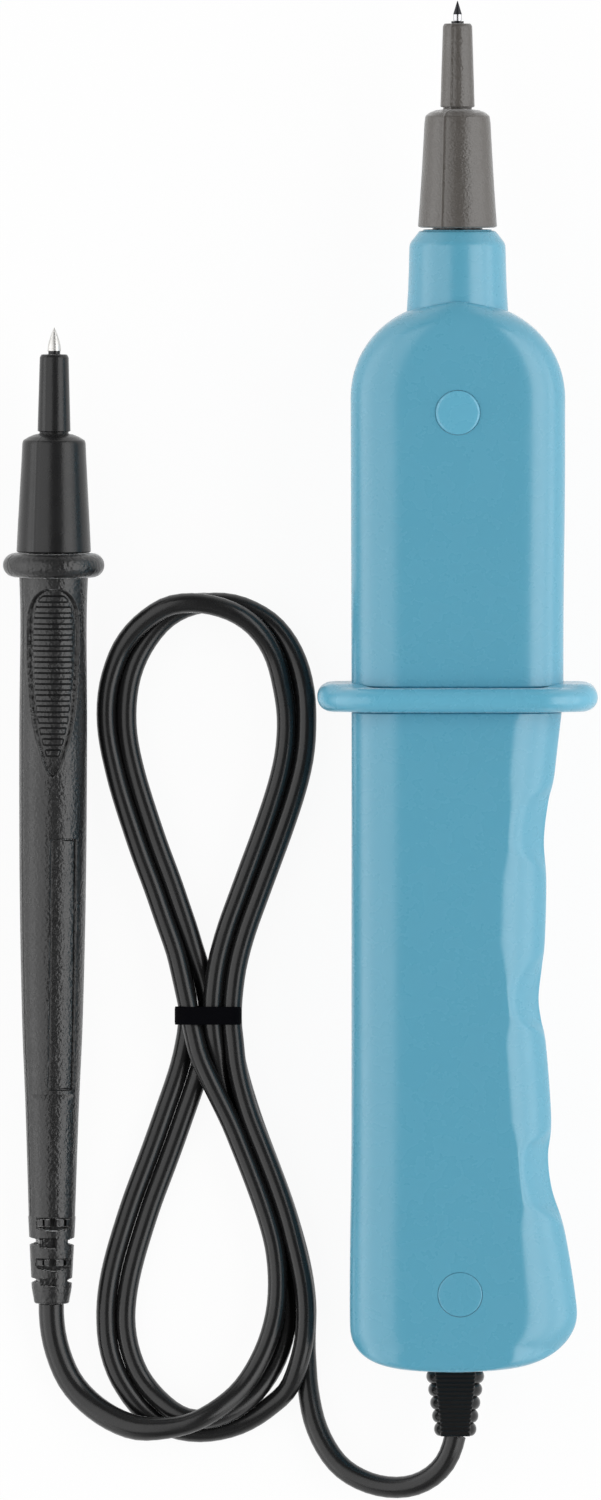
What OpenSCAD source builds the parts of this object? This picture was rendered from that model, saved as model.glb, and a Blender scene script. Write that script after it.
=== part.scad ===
// Two-pole voltage tester: a main unit with a hand guard, a second probe and the tied lead between
// them. Each unit is modelled along +Y with its tip at +Y and its back face up, and is then laid down
// as it rests: on its guard ring or flange and on its tail.

/* [Housing] */
// Width of the housing above the hand guard
body_w = 42; // [40:0.5:47]
// Depth of the housing from its back face to its front face
body_d = 26; // [25:0.5:30]
// Length of the housing from the guard to the top of the shoulder
upper_len = 79.5; // [78:0.5:95]
// Length of the housing from the guard to its tail
grip_len = 134.7; // [133:0.1:150]
// Radius of the long rounded edges
edge_r = 8; // [6:0.5:9]
// Wall of the two housing halves
wall = 2; // [1.6:0.1:2.4]
// Length of the curved shoulder
shoulder_len = 20; // [16:0.5:24]
// Radius where the back face turns down at the shoulder
crown_r = 4; // [3:0.5:5]
// Length of the rounded tail corners
tail_len = 9.5; // [8:0.5:12]
// Radius where the faces turn in at the tail
tail_r = 4; // [3:0.5:5]
// Depth scale of the finger grooves
groove_scale = 1; // [0.6:0.05:1.2]

/* [Neck and tip cover] */
// Radius of the neck at the shoulder
neck_r = 9.9; // [9.5:0.1:10.5]
// Radius of the neck behind its front chamfer
neck_front_r = 9.2; // [8.8:0.1:9.4]
// Length of the neck in front of the shoulder
neck_len = 13.6; // [11:0.2:18]
// Length of the neck's front chamfer
neck_chamfer = 2.8; // [2:0.1:3.5]
// Radius of the tip cover at its open end
cover_r = 7.8; // [7.5:0.1:8.4]
// Radius of the tip cover below its domed shoulder
cover_shoulder_r = 6.4; // [6.2:0.1:6.8]
// Length of the wide part of the tip cover
cover_wide_len = 22.8; // [20:0.2:26]
// Length of the narrow sleeve of the tip cover
cover_sleeve_len = 16.4; // [12:0.2:20]
// Radius of the narrow sleeve where it leaves the dome
sleeve_r = 3.3; // [3.1:0.1:3.6]
// Radius of the narrow sleeve at its front
sleeve_front_r = 2.8; // [2.6:0.1:3]
// Radius of the spigot that carries the tip cover
spigot_r = 5; // [4.6:0.1:5.2]
// Length of the spigot
spigot_len = 18; // [14:0.5:20]

/* [Test tip] */
// Radius of the main test tip
tip_r = 0.85; // [0.7:0.05:0.95]
// Length of the point of the main test tip
tip_point = 2.7; // [2:0.1:3.5]
// Length of bare tip in front of the cover
tip_bare = 4.3; // [3.8:0.1:6]
// Radius of the insulating sleeve on the tip
insulation_r = 1.25; // [1.1:0.05:1.3]

/* [Hand guard] */
// Width over the hand guard
guard_w = 56; // [54:0.5:62]
// Depth over the hand guard
guard_d = 35; // [34:0.5:40]
// Thickness of the hand guard
guard_t = 5.6; // [4.4:0.1:6.4]
// Corner radius of the guard outline
guard_corner_r = 12; // [10:0.5:15]

/* [Screws and plugs] */
// Diameter of the round screw plugs
plug_d = 8.8; // [8:0.1:10]
// Height of the upper plug above the back face
plug_proud = 0.3; // [0:0.05:0.5]
// Diameter of the housing screws
screw_d = 2.9; // [2.5:0.1:3.2]
// Diameter of the screw heads
screw_head_d = 5.6; // [5:0.1:6.5]
// Distance from the top of the shoulder down to the upper screw
upper_screw_gap = 22.5; // [20:0.5:25]
// Distance from the tail up to the lower screw
lower_screw_gap = 15.7; // [13.5:0.1:17]

/* [Circuit board] */
// Width of the circuit board
board_w = 26; // [24:0.5:28]
// Thickness of the circuit board
board_t = 1.6; // [1:0.1:2]
// Depth of the board's front face below the parting plane
board_front_z = 3; // [2.5:0.1:3.5]
// Distance from the upper screw down to the board
board_gap = 7; // [6.2:0.2:9]
// Distance from the guard down to the lower end of the board
board_bottom = 30; // [26:0.5:34]
// Number of display lamps
lamp_count = 7; // [5:1:8]
// Spacing of the display lamps
lamp_pitch = 5.4; // [4.5:0.1:5.6]
// Diameter of a display lamp
lamp_d = 3; // [2.5:0.1:3.2]
// Width of the lamp window
window_w = 9; // [7:0.5:11]
// Length of the lamp window
window_len = 40; // [38:0.5:42]
// Diameter of the buzzer
buzzer_d = 12; // [10:0.5:13]
// Height of the buzzer
buzzer_h = 6.5; // [5:0.5:7]

/* [Cells] */
// Diameter of a cell
cell_d = 10.3; // [9.8:0.1:10.5]
// Length of a cell without its raised contact
cell_len = 43.7; // [42:0.1:44]
// Wall of the battery tray
tray_wall = 1.2; // [1:0.1:1.4]
// Distance from the lower screw up to the battery tray
tray_gap = 17.3; // [14:0.1:18]
// Length of a pressed cell spring
spring_len = 5; // [4:0.2:6]

/* [Second probe] */
// Diameter of the probe flange
flange_d = 20.3; // [19:0.1:23]
// Thickness of the probe flange
flange_t = 4.8; // [4:0.1:5.5]
// Length of the probe handle below the flange's middle
handle_len = 130.5; // [128:0.5:140]
// Wall of the probe shells
probe_wall = 1.6; // [1.3:0.1:1.8]
// Depth of the thumb pad
pad_depth = 0.8; // [0.5:0.05:1]
// Spacing of the thumb pad ribs
pad_pitch = 2.2; // [2:0.1:2.8]
// Depth of the panel recess on the flank
panel_depth = 0.25; // [0.15:0.05:0.4]
// Radius of the probe's tip cover at its open end
probe_cover_r = 7.3; // [7:0.1:7.6]
// Radius of the probe's tip cover below its domed shoulder
probe_cover_shoulder_r = 6.2; // [6:0.1:6.6]
// Length of the wide part of the probe's tip cover
probe_cover_wide_len = 22.2; // [20:0.2:26]
// Length of the narrow sleeve of the probe's tip cover
probe_cover_sleeve_len = 15.2; // [12:0.2:18]
// Radius of the probe's spigot
probe_spigot_r = 4.6; // [4.2:0.1:4.8]
// Length of the probe's spigot
probe_spigot_len = 18; // [14:0.5:19]
// Radius of the probe's test tip
probe_tip_r = 1.35; // [1.2:0.05:1.4]
// Length of bare tip in front of the probe's cover
probe_tip_bare = 5.4; // [5:0.1:7]
// Length of the probe's strain relief
probe_relief_len = 17.5; // [16:0.1:20]

/* [Lead] */
// Diameter of the lead
lead_d = 4; // [3.6:0.1:4.2]
// Length of the main unit's strain relief outside the housing
relief_len = 13.2; // [12:0.1:15]
// Width of the flat tie
tie_w = 3.6; // [3:0.1:4.5]
// Thickness of the flat tie
tie_t = 0.6; // [0.4:0.1:0.8]

/* [Hidden] */
$fn = 64;

blue = [0.36, 0.64, 0.74];
cover_grey = [0.41, 0.39, 0.37];
black = [0.15, 0.15, 0.16];
probe_black = [0.24, 0.24, 0.25];
steel = [0.75, 0.75, 0.77];

// Clearances that several pieces share, and the smallest step that keeps cuts clean
snug = 0.02;
fit = 0.05;
plug_fit = 0.1;
slide_fit = 0.15;
eps = 0.01;

// Right-hand edge of the grip: distance below the guard and change of half width there
grip_edge = [[0, 0], [11, -1.4], [28.7, -4.2], [41, -3.6], [49, -3.7], [60.7, -5],
    [72, -3.2], [84, -2.6], [91.7, -3], [122, 2.4]];
// Curve powers of the left and right tail corners
left_tail_power = 2.9;
right_tail_power = 2.4;
corner_steps = 5;

half_w = body_w / 2;
half_d = body_d / 2;
nose_y = upper_len + neck_len;
upper_screw_y = upper_len - upper_screw_gap;
lower_screw_y = grip_len - lower_screw_gap;
board_top = upper_screw_y - board_gap;

function unit(v) = v / norm(v);
function ease(t) = (1 - cos(180 * t)) / 2;
function clamp(v, low, high) = min(max(v, low), high);

// Change of the right half width at a distance below the guard, eased between neighbouring extremes
function edge_change(d) = let (
    last = len(grip_edge) - 1,
    i = max([for (k = [0:last - 1]) if (grip_edge[k][0] <= max(d, 0)) k]),
    a = grip_edge[i],
    b = grip_edge[i + 1],
    t = clamp((d - a[0]) / (b[0] - a[0]), 0, 1))
    groove_scale * (a[1] + (b[1] - a[1]) * ease(t));

// Share of the full half width left at the shoulder or in the tail
function shoulder_share(y) = let (s = clamp((y - upper_len + shoulder_len) / shoulder_len, 0, 1))
    sqrt(1 - s * s);
function tail_share(y, power) = let (s = clamp((-y - grip_len + tail_len) / tail_len, 0, 1))
    pow(1 - pow(s, power), 1 / power);
function left_w(y) = half_w * shoulder_share(y) * tail_share(y, left_tail_power);
function right_w(y) = (half_w + edge_change(-y)) * shoulder_share(y)
    * tail_share(y, right_tail_power);
function turned_in(past, r) = let (p = clamp(past, 0, r)) r - sqrt(r * r - p * p);
function depth_at(y) = half_d - turned_in(y - upper_len + crown_r, crown_r)
    - turned_in(-y - grip_len + tail_r, tail_r);

// Stations along the housing, closest where it curves
shoulder_y = [for (a = [86, 80, 72, 64, 55, 45, 34, 22, 10, 0])
    upper_len - shoulder_len + shoulder_len * sin(a)];
grip_steps = 34;
grip_y = [for (k = [0:grip_steps]) -k * (grip_len - tail_len) / grip_steps];
tail_y = [for (s = [0.2, 0.4, 0.58, 0.73, 0.85, 0.93, 0.98]) -grip_len + tail_len * (1 - s)];
stations = concat(shoulder_y, grip_y, tail_y);

// Upper half of a rounded section, from its right foot over the top to its left foot. The feet
// reach a little past the parting plane, where each half is then cut flat.
foot_z = -1;
function half_section(y, left, right, depth, corner) = let (
    r = min(corner, 0.95 * left, 0.95 * right))
    concat([[right, y, foot_z]],
        [for (k = [0:corner_steps]) let (a = 90 * k / corner_steps)
            [right - r + r * cos(a), y, depth - r + r * sin(a)]],
        [for (k = [0:corner_steps]) let (a = 90 + 90 * k / corner_steps)
            [-left + r + r * cos(a), y, depth - r + r * sin(a)]],
        [[-left, y, foot_z]]);
function inner_y(y) = y > 0 ? y * (upper_len - wall) / upper_len : y * (grip_len - wall) / grip_len;
function outer_ring(y) = half_section(y, left_w(y), right_w(y), depth_at(y), edge_r);
function inner_ring(y) = let (v = inner_y(y))
    half_section(v, left_w(v) - wall, right_w(v) - wall, depth_at(v) - wall, edge_r - wall);

// Two triangles for each cell of a grid of rings, wound one way or the other
function skin(first, rings, count, flip) = [for (j = [0:rings - 2], i = [0:count - 2])
    let (a = first + j * count + i, b = a + 1, c = a + count, d = c + 1)
    each (flip ? [[a, c, b], [b, c, d]] : [[a, b, c], [b, d, c]])];

// Upper half of the housing: outer skin, inner skin, flat rim and the two end caps of each skin
module half_shell() {
    rings = len(stations);
    count = 2 * corner_steps + 4;
    total = rings * count;
    points = concat([for (y = stations) each outer_ring(y)], [for (y = stations) each inner_ring(y)]);
    rim_right = [for (j = [0:rings - 2]) [j * count, (j + 1) * count, total + (j + 1) * count,
        total + j * count]];
    rim_left = [for (j = [0:rings - 2]) let (a = j * count + count - 1)
        [a, total + a, total + a + count, a + count]];
    top_rim = [[0, total, total + count - 1, count - 1]];
    foot = (rings - 1) * count;
    foot_rim = [[foot, foot + count - 1, total + foot + count - 1, total + foot]];
    caps = [[for (i = [0:count - 1]) i], [for (i = [count - 1:-1:0]) foot + i],
        [for (i = [count - 1:-1:0]) total + i], [for (i = [0:count - 1]) total + foot + i]];
    polyhedron(points, concat(skin(0, rings, count, true), skin(total, rings, count, false),
        rim_right, rim_left, top_rim, foot_rim, caps));
}

// Turned form with its axis along +Y, from radius and Y pairs
module turned(profile) {
    rotate([-90, 0, 0]) rotate_extrude() polygon(profile);
}

// Rod along Y from one Y to another
module rod(r, from_y, to_y) {
    translate([0, from_y, 0]) rotate([-90, 0, 0]) cylinder(r = r, h = to_y - from_y);
}

// Hollow rod along Y
module pipe(outer, inner, from_y, to_y) {
    difference() {
        rod(outer, from_y, to_y);
        rod(inner, from_y - eps, to_y + eps);
    }
}

// Rounded bar standing on the XY plane
module rounded_plate(w, l, t, r) {
    linear_extrude(t) hull() for (x = [-1, 1], y = [-1, 1])
        translate([x * (w / 2 - r), y * (l / 2 - r)]) circle(r, $fn = 32);
}

// How the main unit rests: its guard ring and the edge of its tail touch the table
guard_bead = guard_t / 2;
rest_run = grip_len - tail_r;
rest_drop = (guard_d / 2 - guard_bead) - (half_d - tail_r);
rest_tilt = atan(rest_drop / rest_run)
    + asin((guard_bead - tail_r) / norm([rest_run, rest_drop]));
handle_z = (guard_d / 2 - guard_bead) * cos(rest_tilt) + guard_bead;
cover_gap = 0.2;
dome_len = 2.2;
cover_len = cover_wide_len + dome_len + cover_sleeve_len;
tip_y = nose_y + cover_gap + cover_len + tip_bare;
relief_end = grip_len + relief_len;
handle_x = 31.45;
handle_y = (relief_end - tip_y) / 2 * cos(rest_tilt);
module in_handle() {
    translate([handle_x, handle_y, handle_z]) rotate([rest_tilt, 0, 0]) children();
}

// How the probe rests: its flange and the edge of its handle's end touch the table
flange_bead = flange_t / 2;
tail_edge_r = 4.65;
probe_drop = (flange_d / 2 - flange_bead) - tail_edge_r;
probe_tilt = atan(probe_drop / handle_len) + asin(flange_bead / norm([handle_len, probe_drop]));
probe_z = (flange_d / 2 - flange_bead) * cos(probe_tilt) + flange_bead;
probe_x = -(handle_x + guard_w / 2 - flange_d / 2);
probe_y = 30.75;
probe_turn = 0.18;
module in_probe() {
    translate([probe_x, probe_y, probe_z]) rotate([0, 0, -probe_turn]) rotate([probe_tilt, 0, 0])
        children();
}

// Housing screws, in the housing's own frame
screw_places = [[0, upper_screw_y], [0.5, -lower_screw_y]];
screw_seat_z = 6;
screw_head_h = 2;
screw_reach = 8;
plug_h = 2.6;
lower_plug_proud = 0.05;
pillar_r = plug_d / 2 + plug_fit + 1.1;
boss_r = 3.6;
holder_bore_r = 6.5;
relief_neck_r = 4.6;
relief_x = -0.4;

// Outer form of the neck, solid, from its seat ring inside the shoulder to the nose
seat_y = upper_len - 2 * wall;
module neck() {
    turned([[0, seat_y], [neck_r, seat_y], [neck_r, upper_len - wall],
        [neck_front_r + 0.2, upper_len + 5], [neck_front_r, nose_y - neck_chamfer],
        [cover_r - 0.6, nose_y], [0, nose_y]]);
}

// Everything below the housing's parting plane
module below_parting() {
    translate([-50, -200, -50]) cube([100, 400, 50]);
}

module housing_back() {
    color(blue) in_handle() difference() {
        union() {
            half_shell();
            neck();
            for (p = screw_places) translate([p[0], p[1], foot_z])
                cylinder(r = pillar_r, h = half_d - wall / 2 - foot_z);
        }
        below_parting();
        for (p = screw_places) translate([p[0], p[1], 0]) {
            translate([0, 0, screw_seat_z]) cylinder(r = plug_d / 2 + plug_fit, h = half_d);
            translate([0, 0, -eps]) cylinder(r = screw_d / 2 + 0.2, h = half_d);
        }
        rod(holder_bore_r, seat_y - 1, nose_y + eps);
        translate([relief_x, 0, 0]) rod(relief_neck_r + fit, -grip_len - eps, -grip_len + 2 * wall);
    }
}

// Lamp window and sound holes of the hidden front
window_y = board_top - 22;
window_rim = 1;
sound_y = -board_bottom + 16;
sound_hole_r = 0.7;
sound_ring_r = 3;
post_r = 2;
post_inset = 4;
board_posts = [for (x = [-9.5, 9.5], y = [post_inset - board_bottom, board_top - post_inset])
    [x, y]];
front_inner_z = -half_d + wall;
cell_x = -1.5;
cell_gap = 0.6;
tray_w = 2 * cell_d + 3 * cell_gap + 2 * tray_wall;
contact_t = 0.4;
nub_h = 0.8;
tray_len = cell_len + nub_h + spring_len + 2 * contact_t + 2 * tray_wall;
tray_top = lower_screw_y - tray_gap - tray_len;
tray_floor_z = front_inner_z + 1.1;
cell_z = tray_floor_z + tray_wall + cell_d / 2;
rib_t = 1.6;

module housing_front() {
    color(blue) in_handle() difference() {
        union() {
            mirror([0, 0, 1]) half_shell();
            neck();
            for (p = screw_places) translate([p[0], p[1], -half_d + wall / 2])
                cylinder(r = boss_r, h = half_d - wall / 2 - foot_z);
            for (p = board_posts) translate([p[0], p[1], -half_d + wall / 2])
                cylinder(r = post_r, h = half_d - wall / 2 - board_front_z);
            for (y = [tray_top + 10, tray_top + tray_len - 10])
                translate([cell_x - 7, -y - rib_t / 2, -half_d + wall / 2])
                    cube([14, rib_t, tray_floor_z + half_d - wall / 2]);
        }
        mirror([0, 0, 1]) below_parting();
        for (p = screw_places) translate([p[0], p[1], -screw_reach - 1])
            cylinder(r = screw_d / 2 + fit, h = half_d);
        rod(holder_bore_r, seat_y - 1, nose_y + eps);
        translate([relief_x, 0, 0]) rod(relief_neck_r + fit, -grip_len - eps, -grip_len + 2 * wall);
        translate([0, window_y, -half_d - 1])
            rounded_plate(window_w, window_len, wall + 2, 1.5);
        translate([0, window_y, -half_d - 1])
            rounded_plate(window_w + 2 * window_rim, window_len + 2 * window_rim, 2, 2);
        for (k = [0:5]) translate([sound_ring_r * cos(60 * k), sound_y + sound_ring_r * sin(60 * k),
            -half_d - 1]) cylinder(r = sound_hole_r, h = wall + 2, $fn = 16);
    }
}

// Guard ring: a bead with a half-round edge, closed round the housing
function guard_outline(inset) = let (r = guard_corner_r - inset)
    [for (c = [[1, 1, 0], [-1, 1, 90], [-1, -1, 180], [1, -1, 270]], k = [0:8])
        let (a = c[2] + 90 * k / 8)
        [c[0] * (guard_w / 2 - guard_corner_r) + r * cos(a),
         c[1] * (guard_d / 2 - guard_corner_r) + r * sin(a)]];
bead_angles = [-90, -66, -42, -20, 0, 20, 42, 66, 90];

module hand_guard() {
    rings = len(bead_angles);
    count = 36;
    points = [for (a = bead_angles)
        for (p = guard_outline(guard_bead * (1 - cos(a)))) [p[0], guard_bead * sin(a), p[1]]];
    sides = [for (j = [0:rings - 2], i = [0:count - 1])
        let (n = (i + 1) % count, a = j * count + i, b = j * count + n)
        each [[a, b, a + count], [b, b + count, a + count]]];
    caps = [[for (i = [count - 1:-1:0]) i], [for (i = [0:count - 1]) (rings - 1) * count + i]];
    color(blue) in_handle() difference() {
        polyhedron(points, concat(sides, caps));
        rotate([90, 0, 0]) translate([0, 0, -guard_t])
            rounded_plate(body_w + 2 * fit, body_d + 2 * fit, 2 * guard_t, edge_r + fit);
    }
}

// Round plug in a screw well, with its rim softened
module screw_plug(place, proud) {
    top = half_d + proud;
    soft = 0.3;
    color(blue) in_handle() translate([place[0], place[1], top - plug_h]) {
        cylinder(r = plug_d / 2, h = plug_h - soft);
        translate([0, 0, plug_h - soft]) cylinder(r1 = plug_d / 2, r2 = plug_d / 2 - soft, h = soft);
    }
}

module upper_screw_plug() {
    screw_plug(screw_places[0], plug_proud);
}

module lower_screw_plug() {
    screw_plug(screw_places[1], lower_plug_proud);
}

module housing_screws() {
    slot_w = 0.9;
    color(steel) in_handle() for (p = screw_places) translate([p[0], p[1], 0]) difference() {
        union() {
            translate([0, 0, -screw_reach]) cylinder(d = screw_d, h = screw_seat_z + screw_reach);
            translate([0, 0, screw_seat_z]) cylinder(d = screw_head_d, h = screw_head_h);
        }
        for (a = [0, 90]) rotate([0, 0, a])
            translate([-screw_head_d / 3, -slot_w / 2, screw_seat_z + screw_head_h - 1])
                cube([screw_head_d / 1.5, slot_w, 2]);
    }
}

// Pull-off tip cover: tapered skirt, domed shoulder, narrow sleeve with a rounded mouth
module cover(base_y, open_r, shoulder_r, wide_len, narrow_len, front_r, seat_r, seat_len, mouth_r) {
    dome_y = base_y + wide_len;
    end_y = dome_y + dome_len + narrow_len;
    mouth_soft = 0.4;
    difference() {
        turned(concat([[0, base_y], [open_r - 0.15, base_y], [open_r, base_y + 0.15]],
            [for (a = [0:15:90]) [sleeve_r + (shoulder_r - sleeve_r) * cos(a),
                dome_y + dome_len * sin(a)]],
            [for (a = [0:30:90]) [front_r - mouth_soft + mouth_soft * cos(a),
                end_y - mouth_soft + mouth_soft * sin(a)]],
            [[0, end_y]]));
        rod(seat_r + slide_fit, base_y - eps, base_y + seat_len + 1);
        rod(mouth_r, base_y, end_y + eps);
    }
}

module tip_cover() {
    color(cover_grey) in_handle()
        cover(nose_y + cover_gap, cover_r, cover_shoulder_r, cover_wide_len, cover_sleeve_len,
            sleeve_front_r, spigot_r, spigot_len, insulation_r + slide_fit);
}

// The test tip's collar bears on the holder's collar, and that on the seat ring
holder_collar_len = 2.3;
rod_collar_len = 1.9;
rod_tail_len = 6.5;
holder_y = seat_y - fit - holder_collar_len;
rod_collar_y = holder_y - fit - rod_collar_len;
rod_tail_y = rod_collar_y - rod_tail_len;
shank_r = tip_r - 0.2;
insulation_seat = 4;
insulation_end = nose_y + cover_gap + cover_len + 0.2;
bare_y = insulation_end + fit;

module test_tip() {
    color(steel) in_handle() turned([[0, rod_tail_y], [shank_r, rod_tail_y], [shank_r, rod_collar_y],
        [2, rod_collar_y], [2, rod_collar_y + rod_collar_len],
        [shank_r, rod_collar_y + rod_collar_len], [shank_r, bare_y], [tip_r, bare_y],
        [tip_r, tip_y - tip_point], [0.05, tip_y], [0, tip_y]]);
}

module tip_insulation() {
    color(black) in_handle()
        pipe(insulation_r, shank_r + snug, nose_y + spigot_len - insulation_seat, insulation_end);
}

// Core that carries the test tip: collar behind the shoulder, body in the neck, spigot in front
module tip_holder() {
    collar_r = holder_bore_r + 0.7;
    color(black) in_handle() difference() {
        turned([[0, holder_y], [collar_r, holder_y], [collar_r, seat_y - fit],
            [holder_bore_r - fit, seat_y - fit], [holder_bore_r - fit, nose_y],
            [spigot_r, nose_y], [spigot_r, nose_y + spigot_len - 0.6],
            [spigot_r - 0.6, nose_y + spigot_len], [0, nose_y + spigot_len]]);
        rod(shank_r + snug, holder_y - eps, nose_y + spigot_len);
        rod(insulation_r + snug, nose_y + spigot_len - insulation_seat, nose_y + spigot_len + eps);
    }
}

board_back_z = -board_front_z + board_t;

// Spring strip from the board's edge to the tail of the test tip
module tip_contact() {
    strip_t = 0.5;
    strip_w = 2;
    color("gold") in_handle() difference() {
        union() {
            translate([5.5, board_top - 6, board_back_z])
                cube([strip_w, rod_tail_y + 1 - board_top + 6, strip_t]);
            translate([-2.5, rod_tail_y + 0.5, board_back_z]) cube([5.5 + strip_w + 2.5, strip_t, 4]);
        }
        rod(shank_r + snug, rod_tail_y - 1, rod_tail_y + 3);
    }
}

module circuit_board() {
    board_mid = (board_top - board_bottom) / 2;
    color("darkgreen") in_handle() translate([0, board_mid, -board_front_z])
        rounded_plate(board_w, board_top + board_bottom, board_t, 1.5);
}

module controller_chip() {
    chip = [8, 12, 1.8];
    chip_y = 4;
    color(black) in_handle() translate([-chip[0] / 2, chip_y, board_back_z]) {
        translate([0, 0, 0.2]) cube([chip[0], chip[1], chip[2] - 0.2]);
        for (k = [0:6], x = [-0.8, chip[0] - 0.2])
            translate([x, 0.9 + 1.6 * k, 0]) cube([1, 0.6, 0.6]);
    }
}

// Row of large resistors, each lying on the board on its two bent leads
module series_resistors() {
    body_r = 1.7;
    body_len = 9;
    lead_r = 0.35;
    color("tan") in_handle() for (k = [0:3])
        translate([0, board_top - 20 + 4.2 * k, board_back_z + body_r]) {
            translate([-body_len / 2, 0, 0]) rotate([0, 90, 0]) cylinder(r = body_r, h = body_len);
            translate([-body_len / 2 - 1.5, 0, 0]) rotate([0, 90, 0])
                cylinder(r = lead_r, h = body_len + 3, $fn = 16);
            for (x = [-1, 1]) translate([x * (body_len / 2 + 1.5 - lead_r), 0, -body_r])
                cylinder(r = lead_r, h = body_r, $fn = 16);
        }
}

module display_lamps() {
    lamp_h = 6;
    color("ivory") in_handle() for (k = [0:lamp_count - 1])
        translate([0, window_y + (k - (lamp_count - 1) / 2) * lamp_pitch, -board_front_z])
            mirror([0, 0, 1]) {
                cylinder(d = lamp_d + 0.6, h = 1);
                cylinder(d = lamp_d, h = lamp_h - lamp_d / 2);
                translate([0, 0, lamp_h - lamp_d / 2]) sphere(d = lamp_d, $fn = 24);
            }
}

// Clear window: a plate in the housing's rebate with a step that fills the slot
module lamp_window() {
    sunk = 0.2;
    color([0.75, 0.8, 0.85]) in_handle() translate([0, window_y, -half_d]) {
        translate([0, 0, sunk]) rounded_plate(window_w + 2 * window_rim - 2 * fit,
            window_len + 2 * window_rim - 2 * fit, 1 - sunk, 2 - fit);
        translate([0, 0, 1 - eps])
            rounded_plate(window_w - 2 * fit, window_len - 2 * fit, wall - 1, 1.5 - fit);
    }
}

module buzzer() {
    color(black) in_handle() translate([0, sound_y, -board_front_z - buzzer_h]) difference() {
        cylinder(d = buzzer_d, h = buzzer_h);
        translate([0, 0, -eps]) cylinder(r = 1, h = 2);
    }
}

// Open tray that holds the two cells side by side
module battery_tray() {
    side_h = 8;
    color(black) in_handle() translate([cell_x - tray_w / 2, -tray_top - tray_len, tray_floor_z])
        difference() {
            cube([tray_w, tray_len, side_h]);
            translate([tray_wall, tray_wall, tray_wall])
                cube([tray_w - 2 * tray_wall, tray_len - 2 * tray_wall, side_h]);
            for (x = [-1, 1]) translate([tray_w / 2 + x * tray_w / 2 - 5, tray_len / 2 - 8, 4])
                cube([10, 16, side_h]);
        }
}

// Places of the two cells across the tray
cell_offset = (cell_d + cell_gap) / 2;
cell_near_y = -tray_top - tray_wall - contact_t - spring_len;

// Cell that points up or down the grip
module cell(side, points_up) {
    nub_r = 1.9;
    lift = points_up ? 0 : nub_h;
    color("silver") in_handle() translate([cell_x + side * cell_offset, cell_near_y - nub_h, cell_z]) {
        rod(cell_d / 2, lift - cell_len, lift);
        if (points_up) rod(nub_r, 0, nub_h);
        else rod(nub_r, -cell_len, lift - cell_len + eps);
    }
}

module cell_left() {
    cell(-1, true);
}

module cell_right() {
    cell(1, false);
}

// Ring of points round a place on a path
function ring_at(p, t, r, n) = let (s = unit(cross(t, [0, 0, 1])), u = cross(s, t))
    [for (k = [0:n - 1]) p + r * (cos(360 * k / n) * s + sin(360 * k / n) * u)];
function path_tangent(path, i) = unit(path[min(i + 1, len(path) - 1)] - path[max(i - 1, 0)]);
// Smooth curve through chosen points, a few steps for each span
function curve_point(a, b, c, d, t) = 0.5 * (2 * b + (c - a) * t
    + (2 * a - 5 * b + 4 * c - d) * t * t + (3 * b - a - 3 * c + d) * t * t * t);
function curve(pts, steps) = let (last = len(pts) - 1)
    concat([for (i = [0:last - 1], k = [0:steps - 1])
        curve_point(pts[max(i - 1, 0)], pts[i], pts[i + 1], pts[min(i + 2, last)], k / steps)],
        [pts[last]]);

// Tube swept along a path, with flat ends
module swept(path, r, n) {
    rings = len(path);
    points = [for (i = [0:rings - 1]) each ring_at(path[i], path_tangent(path, i), r, n)];
    sides = [for (j = [0:rings - 2], i = [0:n - 1])
        let (m = (i + 1) % n, a = j * n + i, b = j * n + m)
        each [[a, b, a + n], [b, b + n, a + n]]];
    caps = [[for (i = [n - 1:-1:0]) i], [for (i = [0:n - 1]) (rings - 1) * n + i]];
    polyhedron(points, concat(sides, caps));
}

// Coiled spring along Y as a swept wire
module spring(r, wire_r, length, turns) {
    per_turn = 10;
    count = turns * per_turn;
    path = [for (k = [0:count]) let (a = 360 * k / per_turn)
        [r * cos(a), -wire_r - (length - 2 * wire_r) * k / count, r * sin(a)]];
    points = [for (i = [0:count]) let (a = 360 * i / per_turn, out = [cos(a), 0, sin(a)])
        each [for (k = [0:4]) path[i] + wire_r * (cos(72 * k) * out + sin(72 * k) * [0, 1, 0])]];
    sides = [for (j = [0:count - 1], i = [0:4]) let (m = (i + 1) % 5, a = j * 5 + i, b = j * 5 + m)
        each [[a, a + 5, b], [b, a + 5, b + 5]]];
    caps = [[for (i = [0:4]) i], [for (i = [4:-1:0]) count * 5 + i]];
    polyhedron(points, concat(sides, caps));
}

module cell_springs() {
    spring_r = 2.8;
    spring_wire_r = 0.35;
    color(steel) in_handle() for (x = [-1, 1])
        translate([cell_x + x * cell_offset, -tray_top - tray_wall - contact_t, cell_z])
            spring(spring_r, spring_wire_r, spring_len, 4);
}

module cell_contacts() {
    contact_w = 8;
    color(steel) in_handle() for (x = [-1, 1])
        translate([cell_x + x * cell_offset - contact_w / 2, -tray_top - tray_wall - contact_t,
            tray_floor_z + tray_wall]) cube([contact_w, contact_t, 8]);
}

module bridge_contact() {
    bridge_w = 2 * cell_offset + 7;
    color(steel) in_handle() translate([cell_x - bridge_w / 2,
        -tray_top - tray_len + tray_wall, tray_floor_z + tray_wall]) cube([bridge_w, contact_t, 7]);
}

// Inner end of the lead: jacket through the strain relief, then along the left of the tray
jacket_end = 6;
wire_r = 1.2;
inner_route = [[0, 6, 0], [-3.6, 9.4, 0], [-7.4, 14, 0.5], [-8.6, 21, 1.5], [-11.5, 32, 2.6],
    [-15, 48, 3], [-15.2, 85, 3], [-13, grip_len - board_bottom - 3.7, 1],
    [-9, grip_len - board_bottom + 7.3, 0.2]];

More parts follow.
